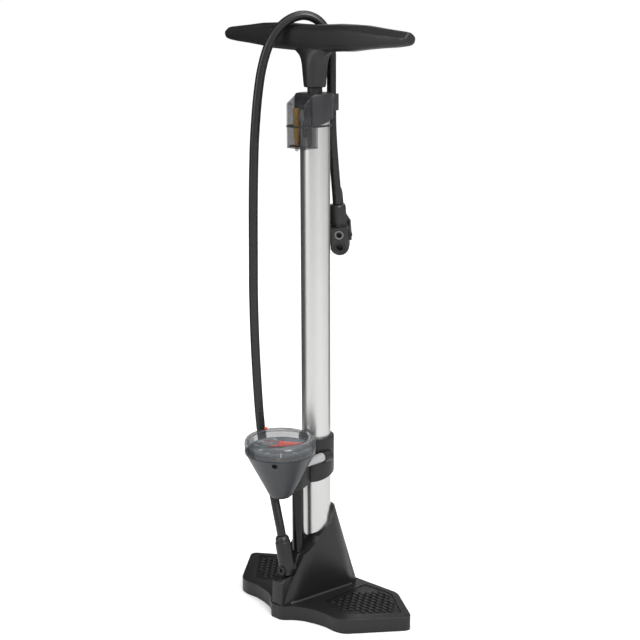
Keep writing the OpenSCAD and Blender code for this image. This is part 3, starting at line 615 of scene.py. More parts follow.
def baked(made: bpy.types.Object) -> bpy.types.Object:
    """Fixes a piece's modifiers into its mesh.

    Args:
        made: The piece.

    Returns:
        The same piece, without modifiers.
    """
    graph = bpy.context.evaluated_depsgraph_get()
    mesh = bpy.data.meshes.new_from_object(made.evaluated_get(graph))
    made.modifiers.clear()
    made.data = mesh
    return made


def carved(made: bpy.types.Object, *cutters: bpy.types.Object) -> bpy.types.Object:
    """Takes closed pieces away from another and removes them.

    Args:
        made: The piece that is cut.
        *cutters: What is taken away.

    Returns:
        The cut piece.
    """
    for cutter in cutters:
        step = made.modifiers.new("cut", "BOOLEAN")
        step.operation, step.solver, step.object = "DIFFERENCE", "EXACT", cutter
    baked(made)
    for cutter in cutters:
        bpy.data.objects.remove(cutter)
    return made


def merged(name: str, pieces: Sequence[bpy.types.Object]) -> bpy.types.Object:
    """Puts the meshes of several pieces into one.

    Args:
        name: Name of the new piece.
        pieces: What goes into it; they are removed.

    Returns:
        The new piece.
    """
    shape = bmesh.new()
    for piece in pieces:
        shape.from_mesh(piece.data)
        bpy.data.objects.remove(piece)
    mesh = bpy.data.meshes.new(name)
    shape.to_mesh(mesh)
    shape.free()
    made = bpy.data.objects.new(name, mesh)
    bpy.context.scene.collection.objects.link(made)
    return made


def eased(
    made: bpy.types.Object, width: float, segments: int = 3, angle: float = 28
) -> bpy.types.Object:
    """Rounds a piece's edges and shades the faces between them smoothly.

    Args:
        made: The piece.
        width: Width of the rounding in millimetres.
        segments: Faces across it.
        angle: Least turn between two faces, in degrees, that counts as an edge.

    Returns:
        The same piece.
    """
    if width:
        step = made.modifiers.new("edges", "BEVEL")
        step.width, step.segments = width * MM, segments
        step.limit_method, step.angle_limit = "ANGLE", math.radians(angle)
        step.miter_outer = "MITER_ARC"
        baked(made)
    made.data.shade_smooth()
    made.data.set_sharp_from_angle(angle=math.radians(38))
    return made


def dress(
    made: bpy.types.Object, finish: Finish, body: Body, replaces: Sequence[str] = ()
) -> bpy.types.Object:
    """Gives a piece its finish and its body, and hides what it stands for.

    Args:
        made: The piece, in place.
        finish: Its surface.
        body: The group that it moves with.
        replaces: CAD nodes that it stands for.

    Returns:
        The same piece.
    """
    made.data.materials.clear()
    made.data.materials.append(finish.material())
    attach(made, body.value)
    if replaces:
        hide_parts(*replaces)
    LOG.info("%s on %s in %s", made.name, body.value, finish.name)
    return made


def finish_node(node: str, finish: Finish) -> None:
    """Gives a carried-over CAD node its finish.

    Args:
        node: Name of the node.
        finish: Its surface.
    """
    target = NODES[node]
    target.data.materials.clear()
    target.data.materials.append(finish.material())
    LOG.info("%s in %s", node, finish.name)


NODES: dict[str, bpy.types.Object] = {}


# -------------------------------------------------------------------- studio


@dataclass
class Studio:
    """Pale floor, soft lights and the camera.

    Attributes:
        eye: Camera position in metres.
        heading: Compass direction that the camera faces, in degrees.
        pitch: How far it looks down, in degrees.
        roll: Its lean, in degrees.
        lens_mm: Focal length on a 36 mm sensor.
        shift: Sideways shift of the frame.
        wall_glow: Brightness of the white room at the height of the horizon.
        roof_glow: Brightness of its ceiling.
        card_reach: Distance of the curved cards from the barrel, in millimetres.
        card_span: Heights of their lower and upper edges, in millimetres.
        floor_half: Half width of the floor, in millimetres.
    """

    eye: Point = (1.0690, -1.0735, 0.6969)
    heading: float = 44.88
    pitch: float = 13.56
    roll: float = -0.24
    lens_mm: float = 80.07
    shift: float = 0.0066
    wall_glow: float = 0.36
    roof_glow: float = 1.55
    card_reach: float = 620
    card_span: Point = (-200, 2400)
    floor_half: float = 8000

    def camera(self) -> None:
        """Sets the camera at the viewing angle."""
        az, down = math.radians(self.heading), math.radians(self.pitch)
        right = Vector((math.cos(az), math.sin(az), 0))
        ahead = Vector(
            (-math.sin(az) * math.cos(down), math.cos(az) * math.cos(down), -math.sin(down))
        )
        up = right.cross(ahead)
        lean = Matrix.Rotation(math.radians(self.roll), 3, "Z")
        turn = Matrix((right, up, -ahead)).transposed() @ lean
        data = bpy.data.cameras.new("camera")
        data.lens, data.sensor_width, data.shift_x = self.lens_mm, 36.0, self.shift
        data.clip_start, data.clip_end = 0.05, 30
        made = bpy.data.objects.new("camera", data)
        made.matrix_world = Matrix.Translation(Vector(self.eye)) @ turn.to_4x4()
        bpy.context.scene.collection.objects.link(made)
        bpy.context.scene.camera = made

    def lamp(self, name: str, place: Point, aim: Point, size: Point, watts: float) -> None:
        """Hangs one soft rectangular light.

        Args:
            name: Name of the light.
            place: Its position in metres.
            aim: The point that it faces, in metres.
            size: Width and height in metres.
            watts: Its power.
        """
        data = bpy.data.lights.new(name, "AREA")
        data.shape, data.size, data.size_y, data.energy = "RECTANGLE", size[0], size[1], watts
        made = bpy.data.objects.new(name, data)
        made.location = place
        made.rotation_euler = (Vector(aim) - Vector(place)).to_track_quat("-Z", "Y").to_euler()
        bpy.context.scene.collection.objects.link(made)

    def build(self) -> None:
        """Lays the floor and lights the room."""
        floor = self.plane("floor", 0.0)
        floor.data.materials.append(
            Finish(
                "studio_floor", "", "fafafa", "fbfbfb", 0.9, grain_mm=400, cloud_mm=900
            ).material()
        )
        world = bpy.data.worlds.new("studio")
        world.use_nodes = True
        tree = world.node_tree
        tree.nodes.clear()
        sky = add_node(tree, "ShaderNodeTexCoord")
        split = add_node(tree, "ShaderNodeSeparateXYZ", {"Vector": sky.outputs["Generated"]})
        lit = add_node(
            tree,
            "ShaderNodeMapRange",
            {"Value": split.outputs["Z"], "To Min": self.wall_glow, "To Max": self.roof_glow},
        )
        ray = add_node(tree, "ShaderNodeLightPath")
        seen = add_node(
            tree,
            "ShaderNodeMapRange",
            {"Value": ray.outputs["Is Camera Ray"], "To Min": lit.outputs["Result"], "To Max": 1.0},
        )
        glow = add_node(
            tree, "ShaderNodeBackground",
            {"Color": linear("ffffff"), "Strength": seen.outputs["Result"]}
        )
        add_node(tree, "ShaderNodeOutputWorld", {"Surface": glow.outputs["Background"]})
        bpy.context.scene.world = world
        bpy.context.scene.view_settings.view_transform = "Standard"
        self.lamp("key_light", (2.2, -0.6, 2.0), (0, 0, 0.35), (1.0, 1.6), 42)
        self.lamp("fill_light", (-0.9, -2.6, 1.3), (0, 0, 0.35), (0.7, 1.8), 16)
        self.lamp("top_light", (0.2, 0.4, 2.6), (0, 0, 0.3), (1.6, 1.6), 14)
        self.card("dark_card", 138, 232, "2c2c2c")
        self.card("grey_card", 70, 128, "7c7c7c")
        self.hide_but_for_gloss(self.plane("floor_card", 0.2), "cccccc")

    def plane(self, name: str, z: float) -> bpy.types.Object:
        """Makes a wide level sheet at a height in millimetres."""
        far = self.floor_half
        return outline_mesh(
            name, [(-far, -far, z), (far, -far, z), (far, far, z), (-far, far, z)], [[0, 1, 2, 3]]
        )

    def card(self, name: str, start: float, end: float, colour: str) -> None:
        """Stands a curved card round the pump, which only shows in shiny tubes.

        Args:
            name: Name of the card.
            start: Compass angle of one end, in degrees.
            end: Compass angle of the other end.
            colour: Its sRGB hex colour.
        """
        steps = 12
        angles = [math.radians(start + (end - start) * k / steps) for k in range(steps + 1)]
        verts = [
            (self.card_reach * math.cos(a), self.card_reach * math.sin(a), z)
            for z in self.card_span
            for a in angles
        ]
        faces = [[k, k + 1, k + steps + 2, k + steps + 1] for k in range(steps)]
        made = outline_mesh(name, verts, faces)
        self.hide_but_for_gloss(made, colour)

    def hide_but_for_gloss(self, made: bpy.types.Object, colour: str) -> None:
        """Colours a card and keeps it out of everything but reflections.

        Args:
            made: The card.
            colour: Its sRGB hex colour.
        """
        paint = Finish(made.name, "", colour, colour, 0.95, grain_mm=400, cloud_mm=900)
        made.data.materials.append(paint.material())
        made.visible_camera = made.visible_diffuse = False
        made.visible_shadow = made.visible_transmission = False


# ---------------------------------------------------------------------- hose


@dataclass
class Hose:
    """The hose from the elbow over the handle to the pump head.

    Attributes:
        route: Points of its centre line.
        diameter: Its outer diameter.
        sides: Points round it.
        steps: Pieces between two points of the route.
    """

    route: Sequence[Point] = (
        (-0.0053, -0.05, 0.0933), (-0.0072, -0.0499, 0.101), (-0.0114, -0.0492, 0.113),
        (-0.019, -0.0474, 0.133), (-0.027, -0.0456, 0.153), (-0.0352, -0.0438, 0.173),
        (-0.0422, -0.0424, 0.192), (-0.046, -0.0418, 0.21), (-0.0478, -0.043, 0.24),
        (-0.0488, -0.0454, 0.296), (-0.0494, -0.0464, 0.353), (-0.0492, -0.046, 0.409),
        (-0.0488, -0.0454, 0.463), (-0.0478, -0.0442, 0.515), (-0.0466, -0.0425, 0.547),
        (-0.045, -0.04, 0.576), (-0.0426, -0.0365, 0.602), (-0.0384, -0.0305, 0.626),
        (-0.0326, -0.022, 0.643), (-0.0252, -0.0114, 0.6536), (-0.0166, 0.001, 0.6576),
        (-0.0084, 0.0128, 0.6526), (-0.0028, 0.021, 0.64), (-0.0003, 0.0248, 0.622),
        (0.0, 0.0252, 0.6), (0.0, 0.0252, 0.57), (0.0, 0.0256, 0.542), (0.0, 0.0272, 0.52),
        (0.0, 0.0296, 0.497), (0.0, 0.032, 0.476), (0.0, 0.0336, 0.461), (0.0, 0.0341, 0.4565),
    )
    diameter: float = 10.0
    sides: int = 32
    steps: int = 8

    def build(self, head: Sequence[bpy.types.Object]) -> None:
        """Args:
            head: Pieces of the pump head on its end; not used.
        """
        path = [p / MM for p in smooth_path(self.route, self.steps)]
        made = loft("hose_skin", swept_rings(path, lambda _: self.diameter / 2, self.sides))
        made.data.materials.append(HOSE_RUBBER.material())
        made.data.shade_smooth()
        made.data.set_sharp_from_angle(angle=math.radians(60))
        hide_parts("hose")
        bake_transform(made)


# ---------------------------------------------------------------------- base


@dataclass
class Base:
    """Foot base: two feet, the sloping tower and the nose that the elbow sits on.

    Attributes:
        outline: Right half of the feet, from the nose round to the back.
        height: Height of the feet.
        edge: Rounding of the feet's upper edge.
        foot: Right half of the tower's foot.
        collar_r: Radius of the tower's top.
        collar_z: Height of the tower's top at the back.
        mat: Outline of a tread.
        flank: Side view of what the plough cut takes from the tower, in y and z.
        strip: Side view of the nose, in y and z.
        pitch: Spacing of the tread's diamonds.
        diamond: Half length and half width of a diamond.
    """

    outline: Sequence[Point] = (
        (0, -65), (7, -65), (11, -62), (18, -55), (28, -49), (42, -45), (56, -43), (70, -44),
        (79, -42), (84, -39), (125, 12), (126.5, 17), (124, 21), (80, 51), (73, 53.5), (20, 52),
        (0, 52),
    )
    height: float = 16.4
    edge: float = 2.2
    foot: Sequence[Point] = ((0, -64), (8, -64), (12, -43), (22, 34), (18, 50), (0, 50))
    collar_r: float = 20.5
    collar_z: float = 116.0
    mat: Sequence[Point] = (
        (33, -20), (69, -29), (73, -27), (112, 15), (112.5, 18), (75, 44.5), (71, 46), (34, 44.5),
    )
    flank: Sequence[Point] = (
        (62, 10), (62, 116.5), (14, 116.5), (6, 102), (-3, 96.5), (-15, 88), (-18, 81), (-26, 74.5),
        (-33.5, 70), (-66, 12.3), (-70, -5), (-70, 130), (70, 130), (70, 10),
    )
    strip: Sequence[Point] = (
        (0, 1), (0, 78), (-21.5, 78), (-21.5, 70.6), (-37, 70.6), (-41.4, 64), (-41.4, 47.6),
        (-58, 46.6), (-62.4, 43), (-64.6, 1),
    )
    pitch: float = 9.0
    diamond: Point = (4.6, 2.5)

    def feet(self) -> bpy.types.Object:
        """Makes the two feet as one hollow moulding.

        Returns:
            The moulding, with a seat for each mat.
        """
        plan = rounded(mirrored(self.outline), 3.0, 3)
        made = prism("base_feet_moulding", plan, 0.0, self.height)
        shape = bmesh.new()
        shape.from_mesh(made.data)
        under = [f for f in shape.faces if f.normal.z < -0.9]
        rim, hollow = 4 * MM, 11 * MM
        bmesh.ops.inset_region(shape, faces=under, thickness=rim)
        for v in {v for f in under for v in f.verts}:
            v.co.z += hollow
        shape.to_mesh(made.data)
        shape.free()
        eased(made, self.edge, 4, 40)
        seats = []
        for side in Side:
            seat = [(x * side.value, y) for x, y in self.widened(rounded(self.mat, 4, 4), 0.8)]
            seats.append(prism("cutter", seat, self.height - 1.3, self.height + 6))
        return eased(carved(made, *seats), 0)

    def widened(self, plan: Sequence[Point], gap: float) -> list[Point]:
        """Spreads an outline by about a gap, away from its middle.

        Args:
            plan: Outline in x and y.
            gap: How far out each point goes.

        Returns:
            The wider outline.
        """
        middle = Vector((sum(x for x, _ in plan) / len(plan), sum(y for _, y in plan) / len(plan)))
        made = []
        for x, y in plan:
            out = Vector((x, y)) - middle
            out += out.normalized() * gap
            made.append((middle.x + out.x, middle.y + out.y))
        return made

    def tower(self) -> bpy.types.Object:
        """Makes the tower: a taut skin from its foot to the collar, cut like a plough.

        Returns:
            The tower.
        """
        low = [(x, y, 8.0) for x, y in mirrored(self.foot)]
        high = [(x, y, self.collar_z) for x, y in circle(self.collar_r, 96)]
        made = outline_mesh("base_tower", low + high, [])
        shape = bmesh.new()
        shape.from_mesh(made.data)
        bmesh.ops.convex_hull(shape, input=shape.verts[:])
        bmesh.ops.dissolve_limit(
            shape, angle_limit=math.radians(0.5), verts=shape.verts[:], edges=shape.edges[:]
        )
        shape.to_mesh(made.data)
        shape.free()
        return eased(carved(made, side_prism("cutter", self.flank, 60)), 1.1, 3, 24)

    def treads(self, side: Side) -> bpy.types.Object:
        """Makes one rubber mat with raised diamonds that shed water.

        Args:
            side: Which foot it lies on.

        Returns:
            The mat with its diamonds.
        """
        sign = side.value
        plan = [(x * sign, y) for x, y in rounded(self.mat, 4, 4)]
        sheet = eased(prism("mat", plan, self.height - 1.2, self.height - 0.5), 0.2, 2)
        blocks: list[bpy.types.Object] = []
        pitch, (long_half, short_half) = self.pitch, self.diamond
        # The rows lean: each starts a bit over half a pitch beside the one before
        for i in range(13):
            for j in range(-14, 13):
                x, y = 34 + i * pitch + j * pitch * 0.55, j * pitch * 0.62 + 6
                corners = [
                    (x, y - short_half), (x + long_half, y), (x, y + short_half), (x - long_half, y)
                ]
                if not all(self.inside(c, 0.9) for c in corners):
                    continue
                rings = []
                for share, z in ((1.0, -0.6), (0.94, 0.8), (0.78, 1.2)):
                    rings.append(
                        [
                            (sign * (x + (cx - x) * share), y + (cy - y) * share, self.height + z)
                            for cx, cy in corners
                        ]
                    )
                blocks.append(loft("block", rings))
        made = merged(f"base_tread_{side.name.lower()}", [sheet, *blocks])
        return eased(made, 0, 1)

    def inside(self, point: Point, margin: float) -> bool:
        """Tells whether a point lies on the mat, a margin in from its edge.

        Args:
            point: A point in x and y, on the right foot.
            margin: Least distance from the mat's edge.

        Returns:
            Whether it lies there.
        """
        middle = Vector((73, 12))
        plan = self.mat
        for i, a in enumerate(plan):
            start, end = Vector(a), Vector(plan[(i + 1) % len(plan)])
            along = (end - start).normalized()
            away = (Vector(point) - start).cross(along)
            home = (middle - start).cross(along)
            if away * math.copysign(1, home) < margin:
                return False
        return True

    def ridge(self, side: Side) -> bpy.types.Object:
        """Makes the soft fillet where the tower's flank meets a foot.

        Args:
            side: Which foot it runs along.

        Returns:
            The fillet.
        """
        line = smooth_path(
            [(9.5, -52, 16.2), (12.4, -42, 16.2), (16.5, -8, 16.2), (21.6, 34, 16.2)], 6
        )
        path = [Vector((p.x * side.value, p.y, p.z)) for p in line]
        return eased(
            loft(f"base_fillet_{side.name.lower()}", swept_rings(path, lambda _: 2.5, 16)), 0
        )

    def build(self) -> None:
        """Builds and dresses the base."""
        dress(self.feet(), BASE_NYLON, Body.STAND, ["base"])
        dress(self.tower(), BASE_NYLON, Body.STAND)
        nose = eased(side_prism("base_nose", self.strip, 8.0), 1.2, 3)
        dress(nose, BASE_NYLON, Body.STAND)
        for side in Side:
            dress(self.treads(side), TREAD_RUBBER, Body.STAND, [f"tread_{side.name.lower()}"])
            dress(self.ridge(side), BASE_NYLON, Body.STAND)
        finish_node("base_feet", SEAL_RUBBER)


@dataclass
class Elbow:
    """Banjo elbow on the nose, with its hollow bolt and the hose nut.

    Attributes:
        foot: Where its axis starts.
        top: Where its axis ends.
        radius: Its radius.
        bolt_x: Sideways place of the bolt.
        bolt_z: Height of the bolt.
    """

    foot: Point = (4.6, -50.0, 50.0)
    top: Point = (-3.8, -50.0, 87.0)
    radius: float = 8.6
    bolt_x: float = 3.0
    bolt_z: float = 56.0

    def build(self) -> None:
        """Builds and dresses the elbow."""
        axis = Vector(self.top) - Vector(self.foot)
        length = axis.length
        turn = axis.to_track_quat("Z", "Y").to_matrix().to_4x4()
        place = Matrix.Translation(Vector(self.foot) * MM) @ turn
        r = self.radius
        barrel = lathe(
            "elbow_barrel",
            [
                (0, -2.6), (2.6, -2.4), (5.0, -1.2), (6.6, 1.4), (7.8, 6), (r, 13), (r, length - 1),
                (r - 0.9, length), (0, length)
            ],
            (0, 0, 0),
            64,
        )
        barrel.data.transform(place)
        eye = lathe(
            "elbow_eye", [(0, 0), (7.2, 0), (7.2, 10), (6.4, 10.8), (0, 10.8)], (0, 0, 0), 48
        )
        eye.data.transform(
            Matrix.Translation(Vector((self.bolt_x, -52.2, self.bolt_z)) * MM)
            @ Matrix.Rotation(math.radians(-90), 4, "X")
        )
        dress(
            eased(merged("hose_elbow_body", [barrel, eye]), 0.5, 2), BASE_NYLON, Body.STAND,
            ["hose_elbow"]
        )
        nut = lathe(
            "hose_grip_nut",
            [
                (0, 0), (r - 0.7, 0), (r - 0.7, 0.8), (r - 1.2, 3.6), (r - 2.4, 5.8), (5.1, 6.0),
                (0, 6.0)
            ],
            (0, 0, length),
            48,
        )
        nut.data.transform(place)
        dress(eased(nut, 0.3, 2), BASE_NYLON, Body.STAND, ["hose_nut"])
        finish_node("elbow_bolt", BLACK_PIPE)


# ---------------------------------------------------------- barrel and inside


@dataclass
class Barrel:
    """The tube with the valve under it and the bush on top, as CAD made them.

    Attributes:
        finishes: Surface of each CAD node.
    """

    finishes: dict[str, Finish] = field(
        default_factory=lambda: {
            "barrel_tube": SATIN_ALUMINIUM,
            "barrel_seal": SEAL_RUBBER,
            "check_valve_seat": TURNED_BRASS,
            "check_valve_ball": ZINC_STEEL,
            "check_valve_spring": ZINC_STEEL,
            "guide_bush": ACETAL,
            "wiper_seal": SEAL_RUBBER,
            "rod": HARD_CHROME,
            "piston": ACETAL,
            "piston_seal": SEAL_RUBBER,
            "piston_nut": ZINC_STEEL,
            "rod_bumper": SEAL_RUBBER,
            "handle_bolt": ZINC_STEEL,
        }
    )

    def build(self) -> None:
        """Dresses the CAD nodes."""
        for node, finish in self.finishes.items():
            finish_node(node, finish)


# ------------------------------------------------------------ cap and storage


@dataclass
class Cap:
    """Top cap, its hose clip, and the smoked storage cover on its front.

    Attributes:
        radius: Radius round the barrel.
        top: Height of its top.
        split: Distance of the cover's back edge in front of the barrel axis.
        half: Half width of the cover.
        front: Distance of the cover's front.
        low: Height of the cover's floor.
        wall: Wall of the cover.
        slope: A point of the front slope, in y and z.
        slope_dir: How far the slope runs back and rises.
        under_z: Height of the slanting underside on the barrel's axis.
        under_slant: Its slant, in degrees.
        band_z: Height of the rubber loop.
    """

    radius: float = 19.5
    top: float = 578.0
    split: float = -17.6
    half: float = 13.5
    front: float = -29.0
    low: float = 521.0
    wall: float = 1.4
    slope: Point = (-15.5, 577.0)
    slope_dir: Point = (13.5, 9.0)
    under_z: float = 548.1
    under_slant: float = 17.4
    band_z: float = 544.1

    def roof(self, y: float) -> float:
        """Returns the height of the front slope at a distance."""
        return self.slope[1] - (self.slope[0] - y) * self.slope_dir[1] / self.slope_dir[0]

    def body(self) -> bpy.types.Object:
        """Makes the cap: a round skirt flared forward, cut slanting underneath.

        Returns:
            The cap.
        """
        plan = hull_outline(
            circle(self.radius, 80) + [(-self.half, self.split), (self.half, self.split)]
        )
        plan = [(x, max(y, self.split)) for x, y in plan]
        skirt_low = 545.5
        made = prism("cap_body", hull_outline(plan), skirt_low, self.top)
        slant = math.radians(self.under_slant)
        slice_off(made, (0, 0, self.under_z), (0, math.sin(slant), -math.cos(slant)))
        slice_off(made, (0, *self.slope), (0, -self.slope_dir[1], self.slope_dir[0]))
        return eased(made, 1.3, 4, 24)

    def clip(self) -> bpy.types.Object:
        """Makes the open clip that holds the stowed hose.

        Returns:
            The clip.
        """
        outer, inner, mid = 7.8, 5.35, 25.2
        low, high = 558.1, 575.9
        open_angle = 46
        arc = [math.radians(90 + open_angle + (360 - 2 * open_angle) * k / 28) for k in range(29)]
        plan = [(outer * math.cos(a), mid + outer * math.sin(a)) for a in arc]
        plan += [(inner * math.cos(a), mid + inner * math.sin(a)) for a in reversed(arc)]
        return eased(prism("clip", plan, low, high), 0.5, 2, 40)

    def cover(self) -> bpy.types.Object:
        """Makes the smoked cover as one thin open-backed moulding.

        Returns:
            The cover, with its real wall.
        """
        back, ledge = self.split - 0.3, 545.2
        profile = [
            (self.front, self.low), (self.front, self.roof(self.front)), (back, self.roof(back)),
            (back, ledge), (-9.4, ledge), (-9.4, self.low),
        ]
        verts = [(sx * self.half, y, z) for sx in (-1, 1) for y, z in profile]
        n = len(profile)
        # The floor's back edge is hollow, to lie round the barrel with a little room
        barrel_gap_r = 16.4
        floor_arc = []
        for k in range(13):
            x = self.half * (1 - 2 * k / 12) * 0.985
            floor_arc.append((x, -math.sqrt(barrel_gap_r**2 - x * x), self.low))
        verts += floor_arc
        faces = [list(range(n)), [n + i for i in range(n)]]
        faces += [[0, 1, n + 1, n], [1, 2, n + 2, n + 1]]
        faces.append([0, n, n + 5] + [2 * n + k for k in range(13)] + [5])
        made = outline_mesh("storage_cover_shell", verts, faces)
        step = made.modifiers.new("corners", "BEVEL")
        step.width, step.segments, step.limit_method = 2.4 * MM, 5, "ANGLE"
        step.angle_limit = math.radians(30)
        wall = made.modifiers.new("wall", "SOLIDIFY")
        wall.thickness, wall.offset = self.wall * MM, -1
        baked(made)
        return eased(made, 0)

    def band(self) -> bpy.types.Object:
        """Makes the rubber loop round the cover and the barrel.

        Returns:
            The loop.
        """
        corners = circle(3.95, 24, (self.half - 3, self.front + 3)) + circle(
            3.95, 24, (3 - self.half, self.front + 3)
        )
        loop = hull_outline(circle(16.9, 64) + corners)
        path = [Vector((x, y, self.band_z)) for x, y in loop]
        rings = []
        for i, here in enumerate(path):
            ahead = (path[(i + 1) % len(path)] - path[i - 1]).normalized()
            side = ahead.cross(Vector((0, 0, 1)))
            rings.append(
                [
                    here + side * (0.85 * math.cos(math.tau * k / 10))
                    + Vector((0, 0, 0.95 * math.sin(math.tau * k / 10)))
                    for k in range(10)
                ]
            )
        return eased(loft("storage_loop", rings, True), 0)

    def build(self) -> None:
        """Builds and dresses the cap, the cover and what it stores."""
        dress(self.body(), CAP_ABS, Body.STAND, ["top_cap"])
        dress(self.clip(), CAP_ABS, Body.STAND, ["hose_clip"])
        dress(self.cover(), SMOKED_ACRYLIC, Body.COVER, ["storage_cover"])
        loop = self.band()
        loop.data.materials.append(SEAL_RUBBER.material())
        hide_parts("storage_band")
        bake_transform(loop)
        low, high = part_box("air_nozzle")
        peg = lathe(
            "storage_peg",
            [(0, -3.2), (1.3, -3.1), (1.9, -2.4), (2.1, 0.4), (0, 0.4)],
            ((low[0] + high[0]) / 2 / MM, (low[1] + high[1]) / 2 / MM, self.low),
            32,
        )
        dress(eased(peg, 0), POST_ABS, Body.COVER)
        finish_node("storage_tray", CAP_ABS)
        finish_node("air_nozzle", AMBER_NOZZLE)
        finish_node("ball_needle", ZINC_STEEL)
        finish_node("valve_adapter", ZINC_STEEL)


# --------------------------------------------------------------------- gauge


@dataclass
class Gauge:
    """Pressure gauge: cone, clear bezel, dial, clamp, posts and air pipe.

    Attributes:
        y: Distance of its axis from the barrel axis.
        seam: Height of the seam under the bezel.
        radius: Outer radius of the bezel.
        bezel: Height of the bezel.
        cone: Length of the cone.
        zero: World angle of the scale's start, in degrees.
        sweep: Angle of the whole scale, clockwise from above.
        band_r: Outer radius of the band clamp.
        band_span: Heights of the band's lower and upper ends before its slanting cut.
        band_low: Height of the slanting cut on the barrel's axis.
        post: Sideways place and height of a post.
        dial_z: Height of the dial's face over the seam.
        index_at: World angle of the mark on the bezel, in degrees.
    """

    y: float = -55.5
    seam: float = 194.0
    radius: float = 39.2
    bezel: float = 16.0
    cone: float = 54.0
    zero: float = 59.0
    sweep: float = 270.0
    band_r: float = 19.8
    band_span: Point = (144.0, 201.0)
    band_low: float = 155.5
    post: Point = (20.0, 181.0)
    dial_z: float = 5.4
    index_at: float = -43.0

    def housing(self) -> bpy.types.Object:
        """Makes the cone with its round tip and its small vent.

        Returns:
            The cone.
        """
        r = self.radius - 0.9
        profile = [
            (0, 0), (3.5, 0.15), (7, 0.8), (10, 2.1), (12.6, 4.4), (14.4, 7.2), (15.8, 10.2),
            (r - 0.4, self.cone - 1.2), (r, self.cone - 0.6), (r, self.cone), (r - 2.4, self.cone),
            (r - 2.6, self.cone - 2.4), (13.4, 11.5), (9, 5), (0, 3),
        ]
        made = lathe("gauge_cone", profile, (0, self.y, self.seam - self.cone), 128)
        angle = math.radians(-54)
        vent = lathe("cutter", [(0, 0), (3.0, 0), (3.0, 30), (0, 30)], (0, 0, 0), 32)
        out = Vector((math.cos(angle), math.sin(angle), 0))
        aim = out.to_track_quat("Z", "Y").to_matrix().to_4x4()
        start = (out * 20 + Vector((0, self.y, self.seam - 5.5))) * MM
        vent.data.transform(Matrix.Translation(start) @ aim)
        return eased(carved(made, vent), 0)

    def lens(self) -> bpy.types.Object:
        """Makes the clear bezel with its raised rim and its window.

        Returns:
            The bezel and window in one.
        """
        r, h = self.radius, self.bezel
        profile = [
            (r - 2.4, 0), (r - 0.3, 0), (r, 0.3), (r, h - 5.6), (r - 0.35, h - 3.9),
            (r - 1.2, h - 2.3), (r - 2.5, h - 1.1), (r - 4.2, h - 0.45), (r - 6, h - 0.3),
            (r - 8.6, h - 0.3), (r - 9.4, h - 0.5), (r - 10.2, h - 1.2), (0, h - 1.2), (0, h - 3.2),
            (r - 5, h - 3.2), (r - 3.2, h - 4.0), (r - 2.4, h - 5.4),
        ]
        made = lathe("bezel_window", profile, (0, self.y, self.seam + 0.3), 128)
        return eased(made, 0)

    def spot(self, share: float, radius: float) -> tuple[float, float, float]:
        """Returns x, y and the angle in radians of a place on the scale."""
        angle = math.radians(self.zero - self.sweep * share)
        return radius * math.cos(angle), self.y + radius * math.sin(angle), angle

    def arc(
        self, name: str, start: float, end: float, inner: float, outer: float, z: float
    ) -> bpy.types.Object:
        """Makes a flat printed arc between two shares of the scale.

        Args:
            name: Name of the piece.
            start: Share of the scale where it starts.
            end: Share where it ends.
            inner: Inner radius.
            outer: Outer radius.
            z: Height of its underside.

        Returns:
            The arc.
        """
        steps = max(2, int(60 * (end - start)))
        shares = [start + (end - start) * k / steps for k in range(steps + 1)]
        plan = [self.spot(s, outer)[:2] for s in shares] + [
            self.spot(s, inner)[:2] for s in reversed(shares)
        ]
        return prism(name, plan, z, z + 0.06)

    def tick(
        self, share: float, inner: float, outer: float, width: float, z: float
    ) -> bpy.types.Object:
        """Makes one printed line across the scale.

        Args:
            share: Its place on the scale, from 0 to 1.
            inner: Radius of its inner end.
            outer: Radius of its outer end.
            width: Its width.
            z: Height of its underside.

        Returns:
            The line.
        """
        x, y, angle = self.spot(share, 0)
        side = Vector((-math.sin(angle), math.cos(angle))) * (width / 2)
        out = Vector((math.cos(angle), math.sin(angle)))
        middle = Vector((x, y))
        plan = [
            middle + out * inner - side, middle + out * outer - side, middle + out * outer + side,
            middle + out * inner + side
        ]
        return prism("tick", [(p.x, p.y) for p in plan], z, z + 0.06)

    def numeral(
        self, value: int, share: float, radius: float, size: float, z: float
    ) -> bpy.types.Object:
        """Makes one plain number, upright for a reader behind the barrel.

        Args:
            value: The number.
            share: Its place on the scale, from 0 to 1.
            radius: Distance of its middle from the pointer's axis.
            size: Height of the type.
            z: Height of its underside.

        Returns:
            The number as a thin mesh.
        """
        curve = bpy.data.curves.new("numeral", "FONT")
        curve.body, curve.size = str(value), size * MM
        curve.align_x = curve.align_y = "CENTER"
        curve.extrude = 0.03 * MM
        carrier = bpy.data.objects.new("numeral", curve)
        bpy.context.scene.collection.objects.link(carrier)
        graph = bpy.context.evaluated_depsgraph_get()
        mesh = bpy.data.meshes.new_from_object(carrier.evaluated_get(graph))
        bpy.data.objects.remove(carrier)
        made = bpy.data.objects.new("numeral", mesh)
        bpy.context.scene.collection.objects.link(made)
        x, y, _ = self.spot(share, radius)
        mesh.transform(
            Matrix.Translation(Vector((x, y, z + 0.03)) * MM) @ Matrix.Rotation(math.pi, 4, "Z")
        )
        return made

